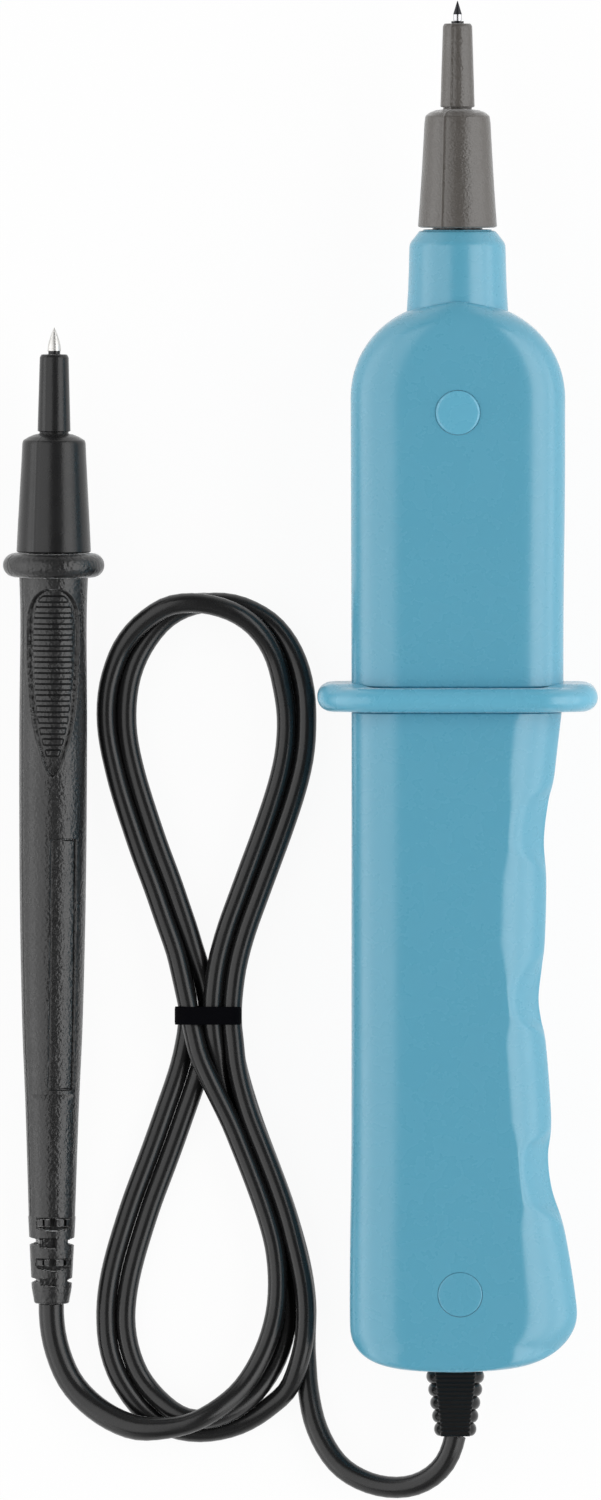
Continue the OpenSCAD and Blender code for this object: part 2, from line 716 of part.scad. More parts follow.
module inner_lead() {
    route = [for (p = inner_route) [relief_x + p[0], -grip_len + p[1] , p[2]]];
    color(black) in_handle() {
        translate([relief_x, 0, 0]) rod(lead_d / 2, -relief_end, -grip_len + jacket_end);
        swept(curve(route, 2), wire_r, 8);
    }
}

// Ribbed strain relief: five tapering beads, a neck in the wall and a collar behind it
module strain_relief() {
    beads = 5;
    bead_pitch = relief_len / beads;
    big = 5.8;
    small = 4.25;
    color(black) in_handle() translate([relief_x, 0, 0]) difference() {
        union() {
            rod(small - 0.6, -relief_end, -grip_len);
            turned(concat([[0, -relief_end], [small - 0.7, -relief_end]],
                [for (k = [0:beads - 1], a = [-60:20:60])
                    let (r = small + (big - small) * k / (beads - 1))
                    [r - bead_pitch / 2 + bead_pitch / 2 * cos(a),
                     -relief_end + (k + 0.5) * bead_pitch + 0.56 * bead_pitch * sin(a)]],
                [[0, -grip_len]]));
            rod(relief_neck_r, -grip_len - eps, -grip_len + wall + 0.2);
            rod(relief_neck_r + 1.6, -grip_len + wall + 0.2, -grip_len + wall + 2);
        }
        rod(lead_d / 2 + fit, -relief_end - eps, -grip_len + 10);
    }
}

// Half profile of the probe's handle: distance below the flange's middle and radius there
handle_profile = [[flange_bead, 6.8], [12, 6.4], [33.6, 6.8], [64, 6.65], [90.6, 6.1],
    [108.8, 5.35], [handle_len, tail_edge_r]];
handle_curve = curve(handle_profile, 3);

// Revolved handle, drawn in or out by a step, down to its end
module handle_form(change) {
    turned(concat([[0, 0], [handle_profile[0][1] + change, 0]],
        [for (p = handle_curve) [p[1] + change, -p[0]]], [[0, -handle_len]]));
}

// Thumb pad outline: round above, widest at a third, drawn to a point below
pad_top = 4.6;
pad_len = 37.8;
pad_half_w = 4.9;
pad_widest = 0.3;
function pad_half(s) = pad_half_w * (s < pad_widest
    ? sqrt(1 - pow(1 - s / pad_widest, 2.4))
    : cos(90 * pow((s - pad_widest) / (1 - pad_widest), 1.35)));
module pad_prism(inset) {
    steps = 16;
    left = [for (k = [0:steps]) let (s = k / steps)
        [max(pad_half(s) - inset, 0.02), -pad_top - inset - s * (pad_len - 2 * inset)]];
    linear_extrude(12) polygon(concat(left, [for (k = [steps:-1:0]) [-left[k][0], left[k][1]]]));
}

// Ribs of the thumb pad, turned as rings and kept inside the pad
module pad_ribs() {
    root_r = probe_bore_r + 0.2;
    first = pad_top + 2.2;
    ribs = floor((pad_len - 7) / pad_pitch);
    intersection() {
        pad_prism(0.8);
        turned(concat([[root_r, -first + 1]], [for (k = [0:ribs - 1]) let (y = -first - k * pad_pitch)
            each [[5.8, y], [6.35, y - 0.3], [6.35, y - 1.1], [5.8, y - 1.4]]],
            [[root_r, -first - ribs * pad_pitch]]));
    }
}

// Shallow panel on the right flank
panel_turn = 27;
panel_top = 54.6;
panel_len = 50.4;
panel_w = 5.8;
module panel_cut() {
    rotate([0, panel_turn, 0]) intersection() {
        translate([0, -panel_top - panel_len / 2, 0]) rounded_plate(panel_w, panel_len, 12, 0.7);
        difference() {
            handle_form(1);
            handle_form(-panel_depth);
        }
    }
}

split_turn = 25;
probe_bore_r = 4.9;
holder_tail = 9;
probe_neck_r = 2.7;

// Both probe shells before they are parted
module probe_body() {
    difference() {
        union() {
            handle_form(0);
            rod(handle_profile[0][1], -flange_bead, flange_bead);
            rotate([-90, 0, 0]) rotate_extrude() {
                translate([0, -flange_bead]) square([flange_d / 2 - flange_bead, flange_t]);
                translate([flange_d / 2 - flange_bead, 0]) circle(flange_bead);
            }
        }
        difference() {
            handle_form(-probe_wall);
            rod(20, -handle_len - 1, -handle_len + 2);
            rod(20, -flange_bead - 1, 1);
        }
        rod(probe_bore_r, -holder_tail - 1, flange_bead + eps);
        rod(probe_neck_r + fit, -handle_len - eps, -handle_len + 3);
        difference() {
            pad_prism(0);
            handle_form(-pad_depth);
        }
        panel_cut();
    }
}

module probe_side(up) {
    rotate([0, split_turn, 0]) translate([-20, -handle_len - 10, up ? 0 : -20])
        cube([40, handle_len + 30, 20]);
}

module probe_upper_shell() {
    color(probe_black) in_probe() {
        intersection() {
            probe_body();
            probe_side(true);
        }
        pad_ribs();
    }
}

module probe_lower_shell() {
    color(probe_black) in_probe() intersection() {
        probe_body();
        probe_side(false);
    }
}

probe_cover_base = flange_bead + cover_gap;
probe_cover_len = probe_cover_wide_len + dome_len + probe_cover_sleeve_len;
probe_tip_y = probe_cover_base + probe_cover_len + probe_tip_bare;
probe_insulation_r = 1.2;
probe_shank_r = 0.8;
probe_head_len = 4.8;
head_y = probe_tip_y - probe_head_len;

module probe_tip_cover() {
    color(black) in_probe()
        cover(probe_cover_base, probe_cover_r, probe_cover_shoulder_r, probe_cover_wide_len,
            probe_cover_sleeve_len, sleeve_front_r, probe_spigot_r, probe_spigot_len,
            probe_tip_r + slide_fit);
}

// Silver tip: slim shank, then a full ogive head
module probe_test_tip() {
    color(steel) in_probe() turned([[0, -holder_tail - 1], [probe_shank_r, -holder_tail - 1],
        [probe_shank_r, head_y], [probe_tip_r, head_y],
        [probe_tip_r * 0.97, head_y + 0.19 * probe_head_len],
        [probe_tip_r * 0.72, head_y + 0.5 * probe_head_len],
        [probe_tip_r * 0.28, head_y + 0.855 * probe_head_len],
        [0.05, probe_tip_y], [0, probe_tip_y]]);
}

module probe_tip_insulation() {
    color(black) in_probe() pipe(probe_insulation_r, probe_shank_r + snug,
        flange_bead + probe_spigot_len - insulation_seat, head_y);
}

module probe_tip_holder() {
    front = flange_bead + probe_spigot_len;
    color(black) in_probe() difference() {
        turned([[0, -holder_tail], [probe_bore_r - fit, -holder_tail],
            [probe_bore_r - fit, flange_bead], [probe_spigot_r, flange_bead],
            [probe_spigot_r, front - 0.6], [probe_spigot_r - 0.6, front], [0, front]]);
        rod(probe_shank_r + snug, -holder_tail - eps, front + eps);
        rod(probe_insulation_r + snug, front - insulation_seat, front + eps);
    }
}

resistor_y = -20;
resistor_len = 14;
resistor_wire_len = 4;

module probe_resistor() {
    color("tan") in_probe() {
        rod(1.8, resistor_y - resistor_len, resistor_y);
        rod(0.4, resistor_y, -holder_tail - 1);
        rod(0.4, resistor_y - resistor_len - resistor_wire_len, resistor_y - resistor_len);
    }
}

probe_end = handle_len + probe_relief_len;

module probe_inner_lead() {
    color(black) in_probe() {
        rod(lead_d / 2, -probe_end, -handle_len + 8);
        rod(0.9, -handle_len + 8, resistor_y - resistor_len - resistor_wire_len);
    }
}

// Slotted strain relief: tapered rings joined in turn at the sides and at the faces
module probe_strain_relief() {
    core_r = 2.75;
    face_slots = [[0.1, 2.1], [8.3, 2]];
    side_slots = [[4.2, 1.6], [12.2, 1.1]];
    collar_r = 2.95;
    function relief_r(d) = 4.5 - 1.05 * d / probe_relief_len;
    color(probe_black) in_probe() difference() {
        union() {
            rod(probe_neck_r, -handle_len - eps, -handle_len + 2.1);
            rod(collar_r, -handle_len + 2.1, -handle_len + 4);
            difference() {
                turned([[0, -handle_len], [relief_r(0), -handle_len],
                    [relief_r(probe_relief_len), -probe_end + 0.5],
                    [relief_r(probe_relief_len) - 0.4, -probe_end], [0, -probe_end]]);
                for (s = face_slots, m = [0, 1]) mirror([0, 0, m])
                    translate([-3.3, -handle_len - s[0] - s[1], core_r - 0.25])
                        cube([6.6, s[1], 5]);
                for (s = side_slots, m = [0, 1]) mirror([m, 0, 0])
                    translate([core_r, -handle_len - s[0] - s[1], -5])
                        cube([5, s[1], 10]);
            }
        }
        rod(lead_d / 2 + fit, -probe_end - eps, -handle_len + 10);
    }
}

// Points of each unit's lead exit in the shared frame
function laid(tilt, turn, origin, p) = let (
    y = p[1] * cos(tilt) - p[2] * sin(tilt),
    z = p[1] * sin(tilt) + p[2] * cos(tilt))
    [origin[0] + p[0] * cos(turn) + y * sin(turn), origin[1] - p[0] * sin(turn) + y * cos(turn),
     origin[2] + z];
handle_exit = laid(rest_tilt, 0, [handle_x, handle_y, handle_z], [relief_x, -relief_end, 0]);
handle_out = laid(rest_tilt, 0, [handle_x, handle_y, handle_z], [relief_x, -relief_end - 2.5, 0]);
probe_exit = laid(probe_tilt, probe_turn, [probe_x, probe_y, probe_z], [0, -probe_end, 0]);
probe_out = laid(probe_tilt, probe_turn, [probe_x, probe_y, probe_z], [0, -probe_end - 3, 0]);

// Route of the free lead from the probe to the hank, and from the hank to the main unit
probe_route = [[-49, -125, 3], [-47.6, -129.5, 2.5], [-45, -134, 2.2], [-41, -137.8, 2.2],
    [-36.6, -140.4, 2.6], [-32, -142, 3.4]];
handle_route = [[1.2, -130, 2], [1.8, -136, 2], [2.6, -141, 2.4], [4.4, -145.5, 3.2],
    [7.8, -150, 4.4], [12, -152.8, 5.8], [17, -153.9, 7.3], [22, -153.3, 9], [26.4, -151, 10.5],
    [29.4, -148.5, 11.7]];

module probe_lead() {
    color(black) swept(curve(concat([probe_exit, probe_out], probe_route), 2), lead_d / 2, 10);
}

module handle_lead() {
    color(black) swept(curve(concat(handle_route, [handle_out, handle_exit]), 2), lead_d / 2, 10);
}

// Tied hank: middle of each band as offset from the hank's middle, Y and half width
hank_x = -18.8;
tie_y = -59.4;
hank_h = 2 * lead_d;
waist_w = 3 * lead_d + 0.2;
notch_half = tie_w / 2 + 0.5;
upper_eye_gap = 12;
lower_eye_gap = 15;
upper_band = [[-2.2, -59.4, 3.9], [-4.3, -46, 3.9], [-6.6, -39.2, 3.9], [-11, -27.2, 3.9],
    [-15.1, -15.2, 3.9], [-17.8, -3.2, 3.9], [-17.6, 6, 3.9], [-14.4, 14.8, 3.6], [-8, 21, 2.8],
    [0, 23.2, 2.1], [8, 21, 2.8], [14.4, 14.8, 3.6], [17.6, 6, 3.9], [17.8, -3.2, 3.9],
    [15.1, -15.2, 3.9], [11, -27.2, 3.9], [6.6, -39.2, 3.9], [4.3, -46, 3.9], [2.2, -59.4, 3.9]];
lower_band = [[-2.2, -59.4, 3.9], [-3.4, -69.5, 3.9], [-7.1, -81.2, 3.9], [-11.5, -93.2, 3.9],
    [-15.6, -105.2, 3.9], [-18, -117.2, 3.9], [-17.6, -126.5, 3.9], [-13.4, -135.4, 3.8],
    [-8, -140, 3], [0, -141.2, 2.8], [9.4, -136.2, 5], [14.1, -129.2, 5.3], [16.3, -122, 5.3],
    [16.8, -112, 4.5], [15.9, -105.2, 4.1], [12.1, -93.2, 3.9], [7.3, -81.2, 3.9],
    [3.4, -69.5, 3.9], [2.2, -59.4, 3.9]];

// One edge of a band, on its outer or inner side, without the points close to the tie
function band_edge(points, side, gap) = let (path = curve(points, 3), last = len(path) - 1)
    [for (i = [0:last]) let (
        a = path[max(i - 1, 0)],
        b = path[min(i + 1, last)],
        d = unit([b[0] - a[0], b[1] - a[1]]),
        p = [path[i][0], path[i][1]] + side * path[i][2] * [-d[1], d[0]])
        if (abs(p[1] - tie_y) > gap) p];
function backwards(list) = [for (i = [len(list) - 1:-1:0]) list[i]];

// Figure of eight: one outline with a waist under the tie, and an eye in each loop
module cord_hank() {
    right_waist = [for (y = [1, -1]) [waist_w / 2, tie_y + y * notch_half]];
    left_waist = [for (y = [-1, 1]) [-waist_w / 2, tie_y + y * notch_half]];
    color(black) translate([hank_x, 0, 0]) linear_extrude(hank_h) difference() {
        polygon(concat(band_edge(upper_band, 1, notch_half), right_waist,
            backwards(band_edge(lower_band, -1, notch_half)), left_waist));
        polygon(band_edge(upper_band, -1, upper_eye_gap));
        polygon(band_edge(lower_band, 1, lower_eye_gap));
    }
}

module cord_tie() {
    inner_w = waist_w + 2 * fit;
    inner_h = hank_h + fit;
    color([0.03, 0.03, 0.03]) translate([hank_x, tie_y, 0]) rotate([90, 0, 0])
        translate([0, 0, -tie_w / 2]) linear_extrude(tie_w) difference() {
            translate([-inner_w / 2 - tie_t, 0]) square([inner_w + 2 * tie_t, inner_h + tie_t]);
            translate([-inner_w / 2, -1]) square([inner_w, inner_h + 1]);
        }
}

housing_back();
housing_front();
hand_guard();
upper_screw_plug();
lower_screw_plug();
housing_screws();
tip_cover();
test_tip();
tip_insulation();
tip_holder();
tip_contact();
circuit_board();
controller_chip();
series_resistors();
display_lamps();
lamp_window();
buzzer();
battery_tray();
cell_left();
cell_right();
cell_springs();
cell_contacts();
bridge_contact();
inner_lead();
strain_relief();
probe_upper_shell();
probe_lower_shell();
probe_tip_cover();
probe_test_tip();
probe_tip_insulation();
probe_tip_holder();
probe_resistor();
probe_inner_lead();
probe_strain_relief();
probe_lead();
cord_hank();
handle_lead();
cord_tie();
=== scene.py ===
"""Looks of a two-pole voltage tester: blue main unit, black second probe and the tied lead.

Every shape is worked out in millimetres in its unit's own frame (tip along +Y, back face up along
+Z), laid down as the unit rests, and only then written in metres into the shared frame.
"""

import logging
from dataclasses import dataclass, field, replace
from enum import Enum
from typing import Callable

import bpy
import numpy as np
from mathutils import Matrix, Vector

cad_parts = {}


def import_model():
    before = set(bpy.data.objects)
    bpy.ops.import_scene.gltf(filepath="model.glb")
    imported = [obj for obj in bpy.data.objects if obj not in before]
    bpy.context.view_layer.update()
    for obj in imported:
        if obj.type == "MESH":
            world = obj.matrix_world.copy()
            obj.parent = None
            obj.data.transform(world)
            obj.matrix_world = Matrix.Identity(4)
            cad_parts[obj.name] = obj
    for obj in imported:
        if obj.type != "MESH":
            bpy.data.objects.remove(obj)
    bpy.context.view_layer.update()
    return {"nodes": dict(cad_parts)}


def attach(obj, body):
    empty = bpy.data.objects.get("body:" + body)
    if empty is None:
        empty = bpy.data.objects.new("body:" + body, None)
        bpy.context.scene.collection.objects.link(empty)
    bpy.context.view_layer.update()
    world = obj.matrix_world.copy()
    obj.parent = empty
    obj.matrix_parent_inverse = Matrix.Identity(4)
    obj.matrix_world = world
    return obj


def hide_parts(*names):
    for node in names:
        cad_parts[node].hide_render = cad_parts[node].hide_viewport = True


LOG = logging.getLogger("voltage_tester")
Array = np.ndarray
Triple = tuple[float, float, float]
Colour = Triple
Socket = bpy.types.NodeSocket
Tree = bpy.types.NodeTree
RadiusChange = Callable[[Array, Array, Array], Array]
MM = 0.001
ROOT_BODY = "tester"


# ---------------------------------------------------------------- shared shape tools


@dataclass(frozen=True)
class Placement:
    """Where a unit's own frame lies in the shared frame.

    Args:
        origin: Place of the unit's origin, in millimetres.
        tilt: Turn about X that lays the unit down, in degrees.
        turn: Clockwise turn about Z seen from above, in degrees.
    """

    origin: Triple = (0.0, 0.0, 0.0)
    tilt: float = 0.0
    turn: float = 0.0

    def lay(self, points: Array) -> Array:
        """Lays points down: first the tilt about X, then the turn about Z, then the shift.

        Args:
            points: Points of shape (n, 3) in the unit's frame, in millimetres.

        Returns:
            The same points in the shared frame, in millimetres.
        """
        t, s = np.radians(self.tilt), np.radians(self.turn)
        x, y, z = points[:, 0], points[:, 1], points[:, 2]
        run, rise = y * np.cos(t) - z * np.sin(t), y * np.sin(t) + z * np.cos(t)
        laid = np.stack([x * np.cos(s) + run * np.sin(s), run * np.cos(s) - x * np.sin(s), rise], 1)
        return laid + np.array(self.origin)


HANDLE = Placement((31.45, 4.4474, 17.4913), 1.9716)
PROBE = Placement((-49.3, 30.75, 10.1431), 2.4143, 0.18)
AS_DRAWN = Placement()


@dataclass
class Shell:
    """Closed surface: points in millimetres with the quads and triangles between them."""

    points: Array
    quads: Array = field(default_factory=lambda: np.zeros((0, 4), int))
    tris: Array = field(default_factory=lambda: np.zeros((0, 3), int))

    def outward(self) -> "Shell":
        """Turns all faces round where the signed volume of the closed surface is negative.

        Returns:
            This shell, with its faces pointing outwards.
        """
        parts = np.vstack([self.quads[:, :3], self.quads[:, [0, 2, 3]], self.tris])
        a, b, c = (self.points[parts[:, k]] for k in range(3))
        if np.einsum("ij,ij->", a, np.cross(b, c)) < 0:
            self.quads, self.tris = self.quads[:, ::-1], self.tris[:, ::-1]
        return self

    def __add__(self, other: "Shell") -> "Shell":
        """Puts two closed surfaces into one, unmerged.

        Args:
            other: The second surface.

        Returns:
            A shell of both.
        """
        n = len(self.points)
        return Shell(
            np.vstack([self.points, other.points]),
            np.vstack([self.quads, other.quads + n]),
            np.vstack([self.tris, other.tris + n]),
        )


def tube(rings: Array, loop: bool = False) -> Shell:
    """Skin over rings of points: quads between neighbouring rings, and fans over the two ends.

    Args:
        rings: Points of shape (rows, columns, 3); each row is a closed ring.
        loop: Joins the last ring to the first in place of the end fans.

    Returns:
        The closed skin.
    """
    n, m, _ = rings.shape
    i, j = np.arange(n if loop else n - 1)[:, None], np.arange(m)[None, :]
    k, h = (i + 1) % n, (j + 1) % m
    quads = np.stack([i * m + j, i * m + h, k * m + h, k * m + j], -1).reshape(-1, 4)
    points = rings.reshape(-1, 3)
    if loop:
        return Shell(points, quads).outward()
    j, last = np.arange(m), (n - 1) * m
    first_fan = np.stack([np.full(m, n * m), (j + 1) % m, j], 1)
    last_fan = np.stack([np.full(m, n * m + 1), last + j, last + (j + 1) % m], 1)
    points = np.vstack([points, rings[0].mean(0), rings[-1].mean(0)])
    return Shell(points, quads, np.vstack([first_fan, last_fan])).outward()


def thick(outer: Array, inner: Array, capped: bool) -> Shell:
    """Wall between an outer and an inner open sheet of the same grid.

    The two sheets are joined along all four edges. Where capped, each end row of a sheet is first
    closed by a fan to the middle of its two feet, so that the wall becomes a trough with ends.

    Args:
        outer: Outer sheet, shape (rows, columns, 3).
        inner: Inner sheet, same shape.
        capped: Whether the first and last rows are end walls.

    Returns:
        The closed wall.
    """
    n, m, _ = outer.shape
    size = n * m
    i, j = np.arange(n - 1)[:, None], np.arange(m - 1)[None, :]
    skin = np.stack([i * m + j, i * m + j + 1, (i + 1) * m + j + 1, (i + 1) * m + j], -1)
    skin = skin.reshape(-1, 4)
    i, j = np.arange(n - 1), np.arange(m - 1)
    a, b, end = i * m, i * m + m - 1, (n - 1) * m
    foot = np.stack([a, a + m, a + m + size, a + size], 1)
    far_foot = np.stack([b + m, b, b + size, b + m + size], 1)
    points = np.vstack([outer.reshape(-1, 3), inner.reshape(-1, 3)])
    quads = [skin, skin[:, ::-1] + size, foot, far_foot]
    if not capped:
        quads.append(np.stack([j + 1, j, j + size, j + 1 + size], 1))
        quads.append(np.stack([end + j, end + j + 1, end + j + 1 + size, end + j + size], 1))
        return Shell(points, np.vstack(quads)).outward()
    middles = [(sheet[row, 0] + sheet[row, -1]) / 2 for sheet in (outer, inner) for row in (0, -1)]
    o0, o1, i0, i1 = 2 * size + np.arange(4)
    fans = [
        np.stack([np.full(m - 1, o0), j + 1, j], 1),
        np.stack([np.full(m - 1, o1), end + j, end + j + 1], 1),
        np.stack([np.full(m - 1, i0), size + j, size + j + 1], 1),
        np.stack([np.full(m - 1, i1), size + end + j + 1, size + end + j], 1),
    ]
    quads.append(
        np.array(
            [
                [o0, 0, size, i0],
                [m - 1, o0, i0, size + m - 1],
                [end, o1, i1, size + end],
                [o1, end + m - 1, size + end + m - 1, i1],
            ]
        )
    )
    return Shell(np.vstack([points, middles]), np.vstack(quads), np.vstack(fans)).outward()


def smooth_path(points: Array, steps: int) -> Array:
    """Smooth curve through points, each span a cubic set by its two ends and their neighbours.

    With a, b, c, d the four points round a span and t from 0 to 1 along it, the place is half of
    2b + (c - a)t + (2a - 5b + 4c - d)t² + (3b - a - 3c + d)t³.

    Args:
        points: Points to pass through, shape (n, dimensions).
        steps: Steps for each span.

    Returns:
        Points along the curve.
    """
    p = np.vstack([points[:1], points, points[-1:]])
    a, b, c, d = (q[:, None] for q in (p[:-3], p[1:-2], p[2:-1], p[3:]))
    t = (np.arange(steps) / steps)[None, :, None]
    spans = 2 * b + (c - a) * t + (2 * a - 5 * b + 4 * c - d) * t**2
    spans = 0.5 * (spans + (3 * b - a - 3 * c + d) * t**3)
    return np.vstack([spans.reshape(-1, points.shape[1]), points[-1:]])


def soften(profile: Array, radius: float, steps: int = 4) -> Array:
    """Rounds the inner corners of an open profile.

    Each corner is replaced by the parabola that leaves its two sides a radius away from it, or
    nearly half a side away where that is shorter.

    Args:
        profile: Corner points, shape (n, 2).
        radius: Distance from the corner at which the rounding starts.
        steps: Steps of each rounding.

    Returns:
        The rounded profile.
    """
    a, b, c = profile[:-2], profile[1:-1], profile[2:]
    back, on = a - b, c - b
    long_back = np.linalg.norm(back, axis=1, keepdims=True)
    long_on = np.linalg.norm(on, axis=1, keepdims=True)
    reach = np.minimum(radius, 0.45 * np.minimum(long_back, long_on))
    p, q = b + back / long_back * reach, b + on / long_on * reach
    t = np.linspace(0, 1, steps + 1)[None, :, None]
    arcs = (1 - t) ** 2 * p[:, None] + 2 * t * (1 - t) * b[:, None] + t**2 * q[:, None]
    return np.vstack([profile[:1], arcs.reshape(-1, 2), profile[-1:]])


def refine(profile: Array, step: float) -> Array:
    """Adds points to a profile so that no side is longer than a step.

    Args:
        profile: Corner points, shape (n, 2).
        step: Longest side that is left, in millimetres.

    Returns:
        The profile with points at even shares of each long side.
    """
    length = np.linalg.norm(np.diff(profile, axis=0), axis=1)
    counts = np.maximum(np.ceil(length / step).astype(int), 1)
    at = np.concatenate([k + np.arange(c) / c for k, c in enumerate(counts)] + [[len(counts)]])
    index = np.arange(len(profile))
    return np.stack([np.interp(at, index, profile[:, k]) for k in range(2)], 1)


def turned(
    profile: Array, loop: bool, angles: Array, shape: RadiusChange | None = None
) -> Shell:
    """Form turned about the Y axis: x = r sin(angle), z = r cos(angle).

    Args:
        profile: Radius and Y pairs. A loop for a hollow form, or else from one end to the other.
        loop: Whether the profile is a closed loop.
        angles: Angles from the top towards +X, in degrees.
        shape: Changes the radius, from arrays of radius, angle and Y.

    Returns:
        The closed form.
    """
    r = np.repeat(profile[:, :1], len(angles), 1)
    y = np.repeat(profile[:, 1:], len(angles), 1)
    if shape is not None:
        r = shape(r, np.broadcast_to(angles, r.shape), y)
    a = np.radians(angles)
    return tube(np.stack([r * np.sin(a), y, r * np.cos(a)], -1), loop)


def angles_near(centres: list[float], even: int, spread: float = 2.4) -> Array:
    """Even angles round a circle, with a dozen more close to each named one.

    Args:
        centres: The named angles, in degrees.
        even: Count of the even angles.
        spread: How far the close ones reach to either side, in degrees.

    Returns:
        All the angles from 0 to 360 degrees, in order.
    """
    near = np.linspace(-spread, spread, 13)
    extra = [(c + near) % 360 for c in centres]
    return np.unique(np.round(np.concatenate([np.arange(even) * 360 / even, *extra]), 3))


def bell(x: Array, width: float) -> Array:
    """Bell curve of height 1: e to the minus square of x over its width."""
    return np.exp(-((x / width) ** 2))


def aside(angle: Array, centre: float, r: Array) -> Array:
    """Distance round the axis from a centre angle, signed, by the shorter way."""
    return ((angle - centre + 180) % 360 - 180) * np.radians(1) * r


def parting_lines(centres: list[float], beyond: float, width: float) -> RadiusChange:
    """Change of a turned form that draws a fine line along Y at each named angle.

    The radius shrinks by a tenth of a millimetre times the bell curve of the distance round.

    Args:
        centres: Angles of the lines, in degrees from 0 to 360.
        beyond: Radius past which the lines show.
        width: Width of the bell curve.

    Returns:
        A change for turned().
    """

    def drawn_in(r: Array, angle: Array, y: Array) -> Array:
        """Draws the radius in along the lines.

        Args:
            r: Radius at each point.
            angle: Angle from the top, in degrees.
            y: Y at each point; not used.

        Returns:
            The new radius.
        """
        off = np.min([np.abs(angle - c) for c in centres], 0) * np.radians(1) * r
        return r - np.where(r > beyond, 0.1 * bell(off, width), 0)

    return drawn_in


def rounded_box(width: float, length: float, radius: float, per_corner: int = 8) -> Array:
    """Outline of a rectangle with round corners, centred, starting at its right upper corner.

    Each corner is a quarter circle about a point that lies a radius in from both sides.

    Args:
        width: Size along X.
        length: Size along Y.
        radius: Radius of the corners.
        per_corner: Points in each corner.

    Returns:
        Points of shape (4 x per_corner, 2).
    """
    a = np.radians(np.linspace(0, 90, per_corner)[None, :] + np.arange(4)[:, None] * 90)
    sx, sy = np.array([1, -1, -1, 1])[:, None], np.array([1, 1, -1, -1])[:, None]
    x = sx * (width / 2 - radius) + radius * np.cos(a)
    y = sy * (length / 2 - radius) + radius * np.sin(a)
    return np.stack([x.ravel(), y.ravel()], 1)


def circle(radius: float, per_quarter: int) -> Array:
    """Outline of a circle, centred, starting at its right."""
    return rounded_box(2 * radius, 2 * radius, radius, per_quarter)


def stacked(outlines: list[Array], heights: list[float], middle: tuple[float, float]) -> Shell:
    """Upright form over outlines in XY round a middle, one for each height."""
    rings = [np.column_stack([o + middle, np.full(len(o), z)]) for o, z in zip(outlines, heights)]
    return tube(np.stack(rings))


def rise(x: Array, start: float, stop: float) -> Array:
    """Smooth step from 0 at start to 1 at stop."""
    t = np.clip((x - start) / (stop - start), 0, 1)
    return t * t * (3 - 2 * t)


def power_fall(past: Array, run: float, power: float) -> Array:
    """Falls from 1 to 0 over a run that ends at 0, as (1 - s^power)^(1/power) with s its share."""
    s = np.clip((past + run) / run, 0, 1)
    return (1 - s**power) ** (1 / power)


def add_object(name: str, data: bpy.types.ID) -> bpy.types.Object:
    """Puts a mesh, curve, light or camera into the scene as an object at the origin.

    Args:
        name: Name of the object.
        data: What it shows.

    Returns:
        The object.
    """
    made = bpy.data.objects.new(name, data)
    bpy.context.scene.collection.objects.link(made)
    return made


def shell_object(name: str, shell: Shell, place: Placement, sharp: float) -> bpy.types.Object:
    """Writes a shell into a new mesh object that sits at the origin, in metres.

    Args:
        name: Name of the object.
        shell: The closed surface.
        place: How it is laid down.
        sharp: Angle between faces past which their edge is sharp, in degrees.

    Returns:
        The object, linked into the scene.
    """
    points = place.lay(shell.points) * MM
    loops = np.concatenate([shell.quads.ravel(), shell.tris.ravel()]).astype(np.int32)
    sides = np.repeat([4, 3], [len(shell.quads), len(shell.tris)])
    starts = (np.cumsum(sides) - sides).astype(np.int32)
    mesh = bpy.data.meshes.new(name)
    mesh.vertices.add(len(points))
    mesh.vertices.foreach_set("co", points.ravel().astype(np.float32))
    mesh.loops.add(len(loops))
    mesh.loops.foreach_set("vertex_index", loops)
    mesh.polygons.add(len(starts))
    mesh.polygons.foreach_set("loop_start", starts)
    mesh.update(calc_edges=True)
    mesh.validate()
    made = add_object(name, mesh)
    shade(made, sharp)
    return made


def shade(made: bpy.types.Object, sharp: float) -> None:
    """Shades a mesh smooth but for its sharp edges.

    Args:
        made: The object that holds the mesh.
        sharp: Angle between faces past which their edge is sharp, in degrees.
    """
    mesh = made.data
    mesh.polygons.foreach_set("use_smooth", np.ones(len(mesh.polygons), bool))
    mesh.set_sharp_from_angle(angle=float(np.radians(sharp)))
    mesh.update()


def cut(made: bpy.types.Object, tool: Shell, place: Placement, sharp: float) -> None:
    """Cuts a closed surface out of an object for good.

    Args:
        made: The object that is cut.
        tool: The closed surface that is taken out.
        place: How the surface is laid down.
        sharp: Angle past which an edge of the result is sharp, in degrees.
    """
    cutter = shell_object("cutter", tool, place, sharp)
    step = made.modifiers.new("cut", "BOOLEAN")
    step.operation, step.solver, step.object = "DIFFERENCE", "EXACT", cutter
    seen = made.evaluated_get(bpy.context.evaluated_depsgraph_get())
    mesh = bpy.data.meshes.new_from_object(seen)
    made.modifiers.clear()
    made.data = mesh
    bpy.data.objects.remove(cutter)
    shade(made, sharp)


# ---------------------------------------------------------------- finishes


class Slot(Enum):
    """Material slots of the record."""

    HOUSING = "housing_blue"
    COVER = "cover_grey"
    STEEL = "test_steel"
    NICKEL = "probe_nickel"
    BLACK = "black_plastic"
    PROBE = "probe_plastic"
    RUBBER = "black_rubber"
    TIE = "tie_plastic"
    BRASS = "contact_brass"
    BOARD = "board_green"
    RESISTOR = "resistor_tan"
    LAMP = "lamp_white"
    WINDOW = "window_clear"
    CELL = "cell_jacket"


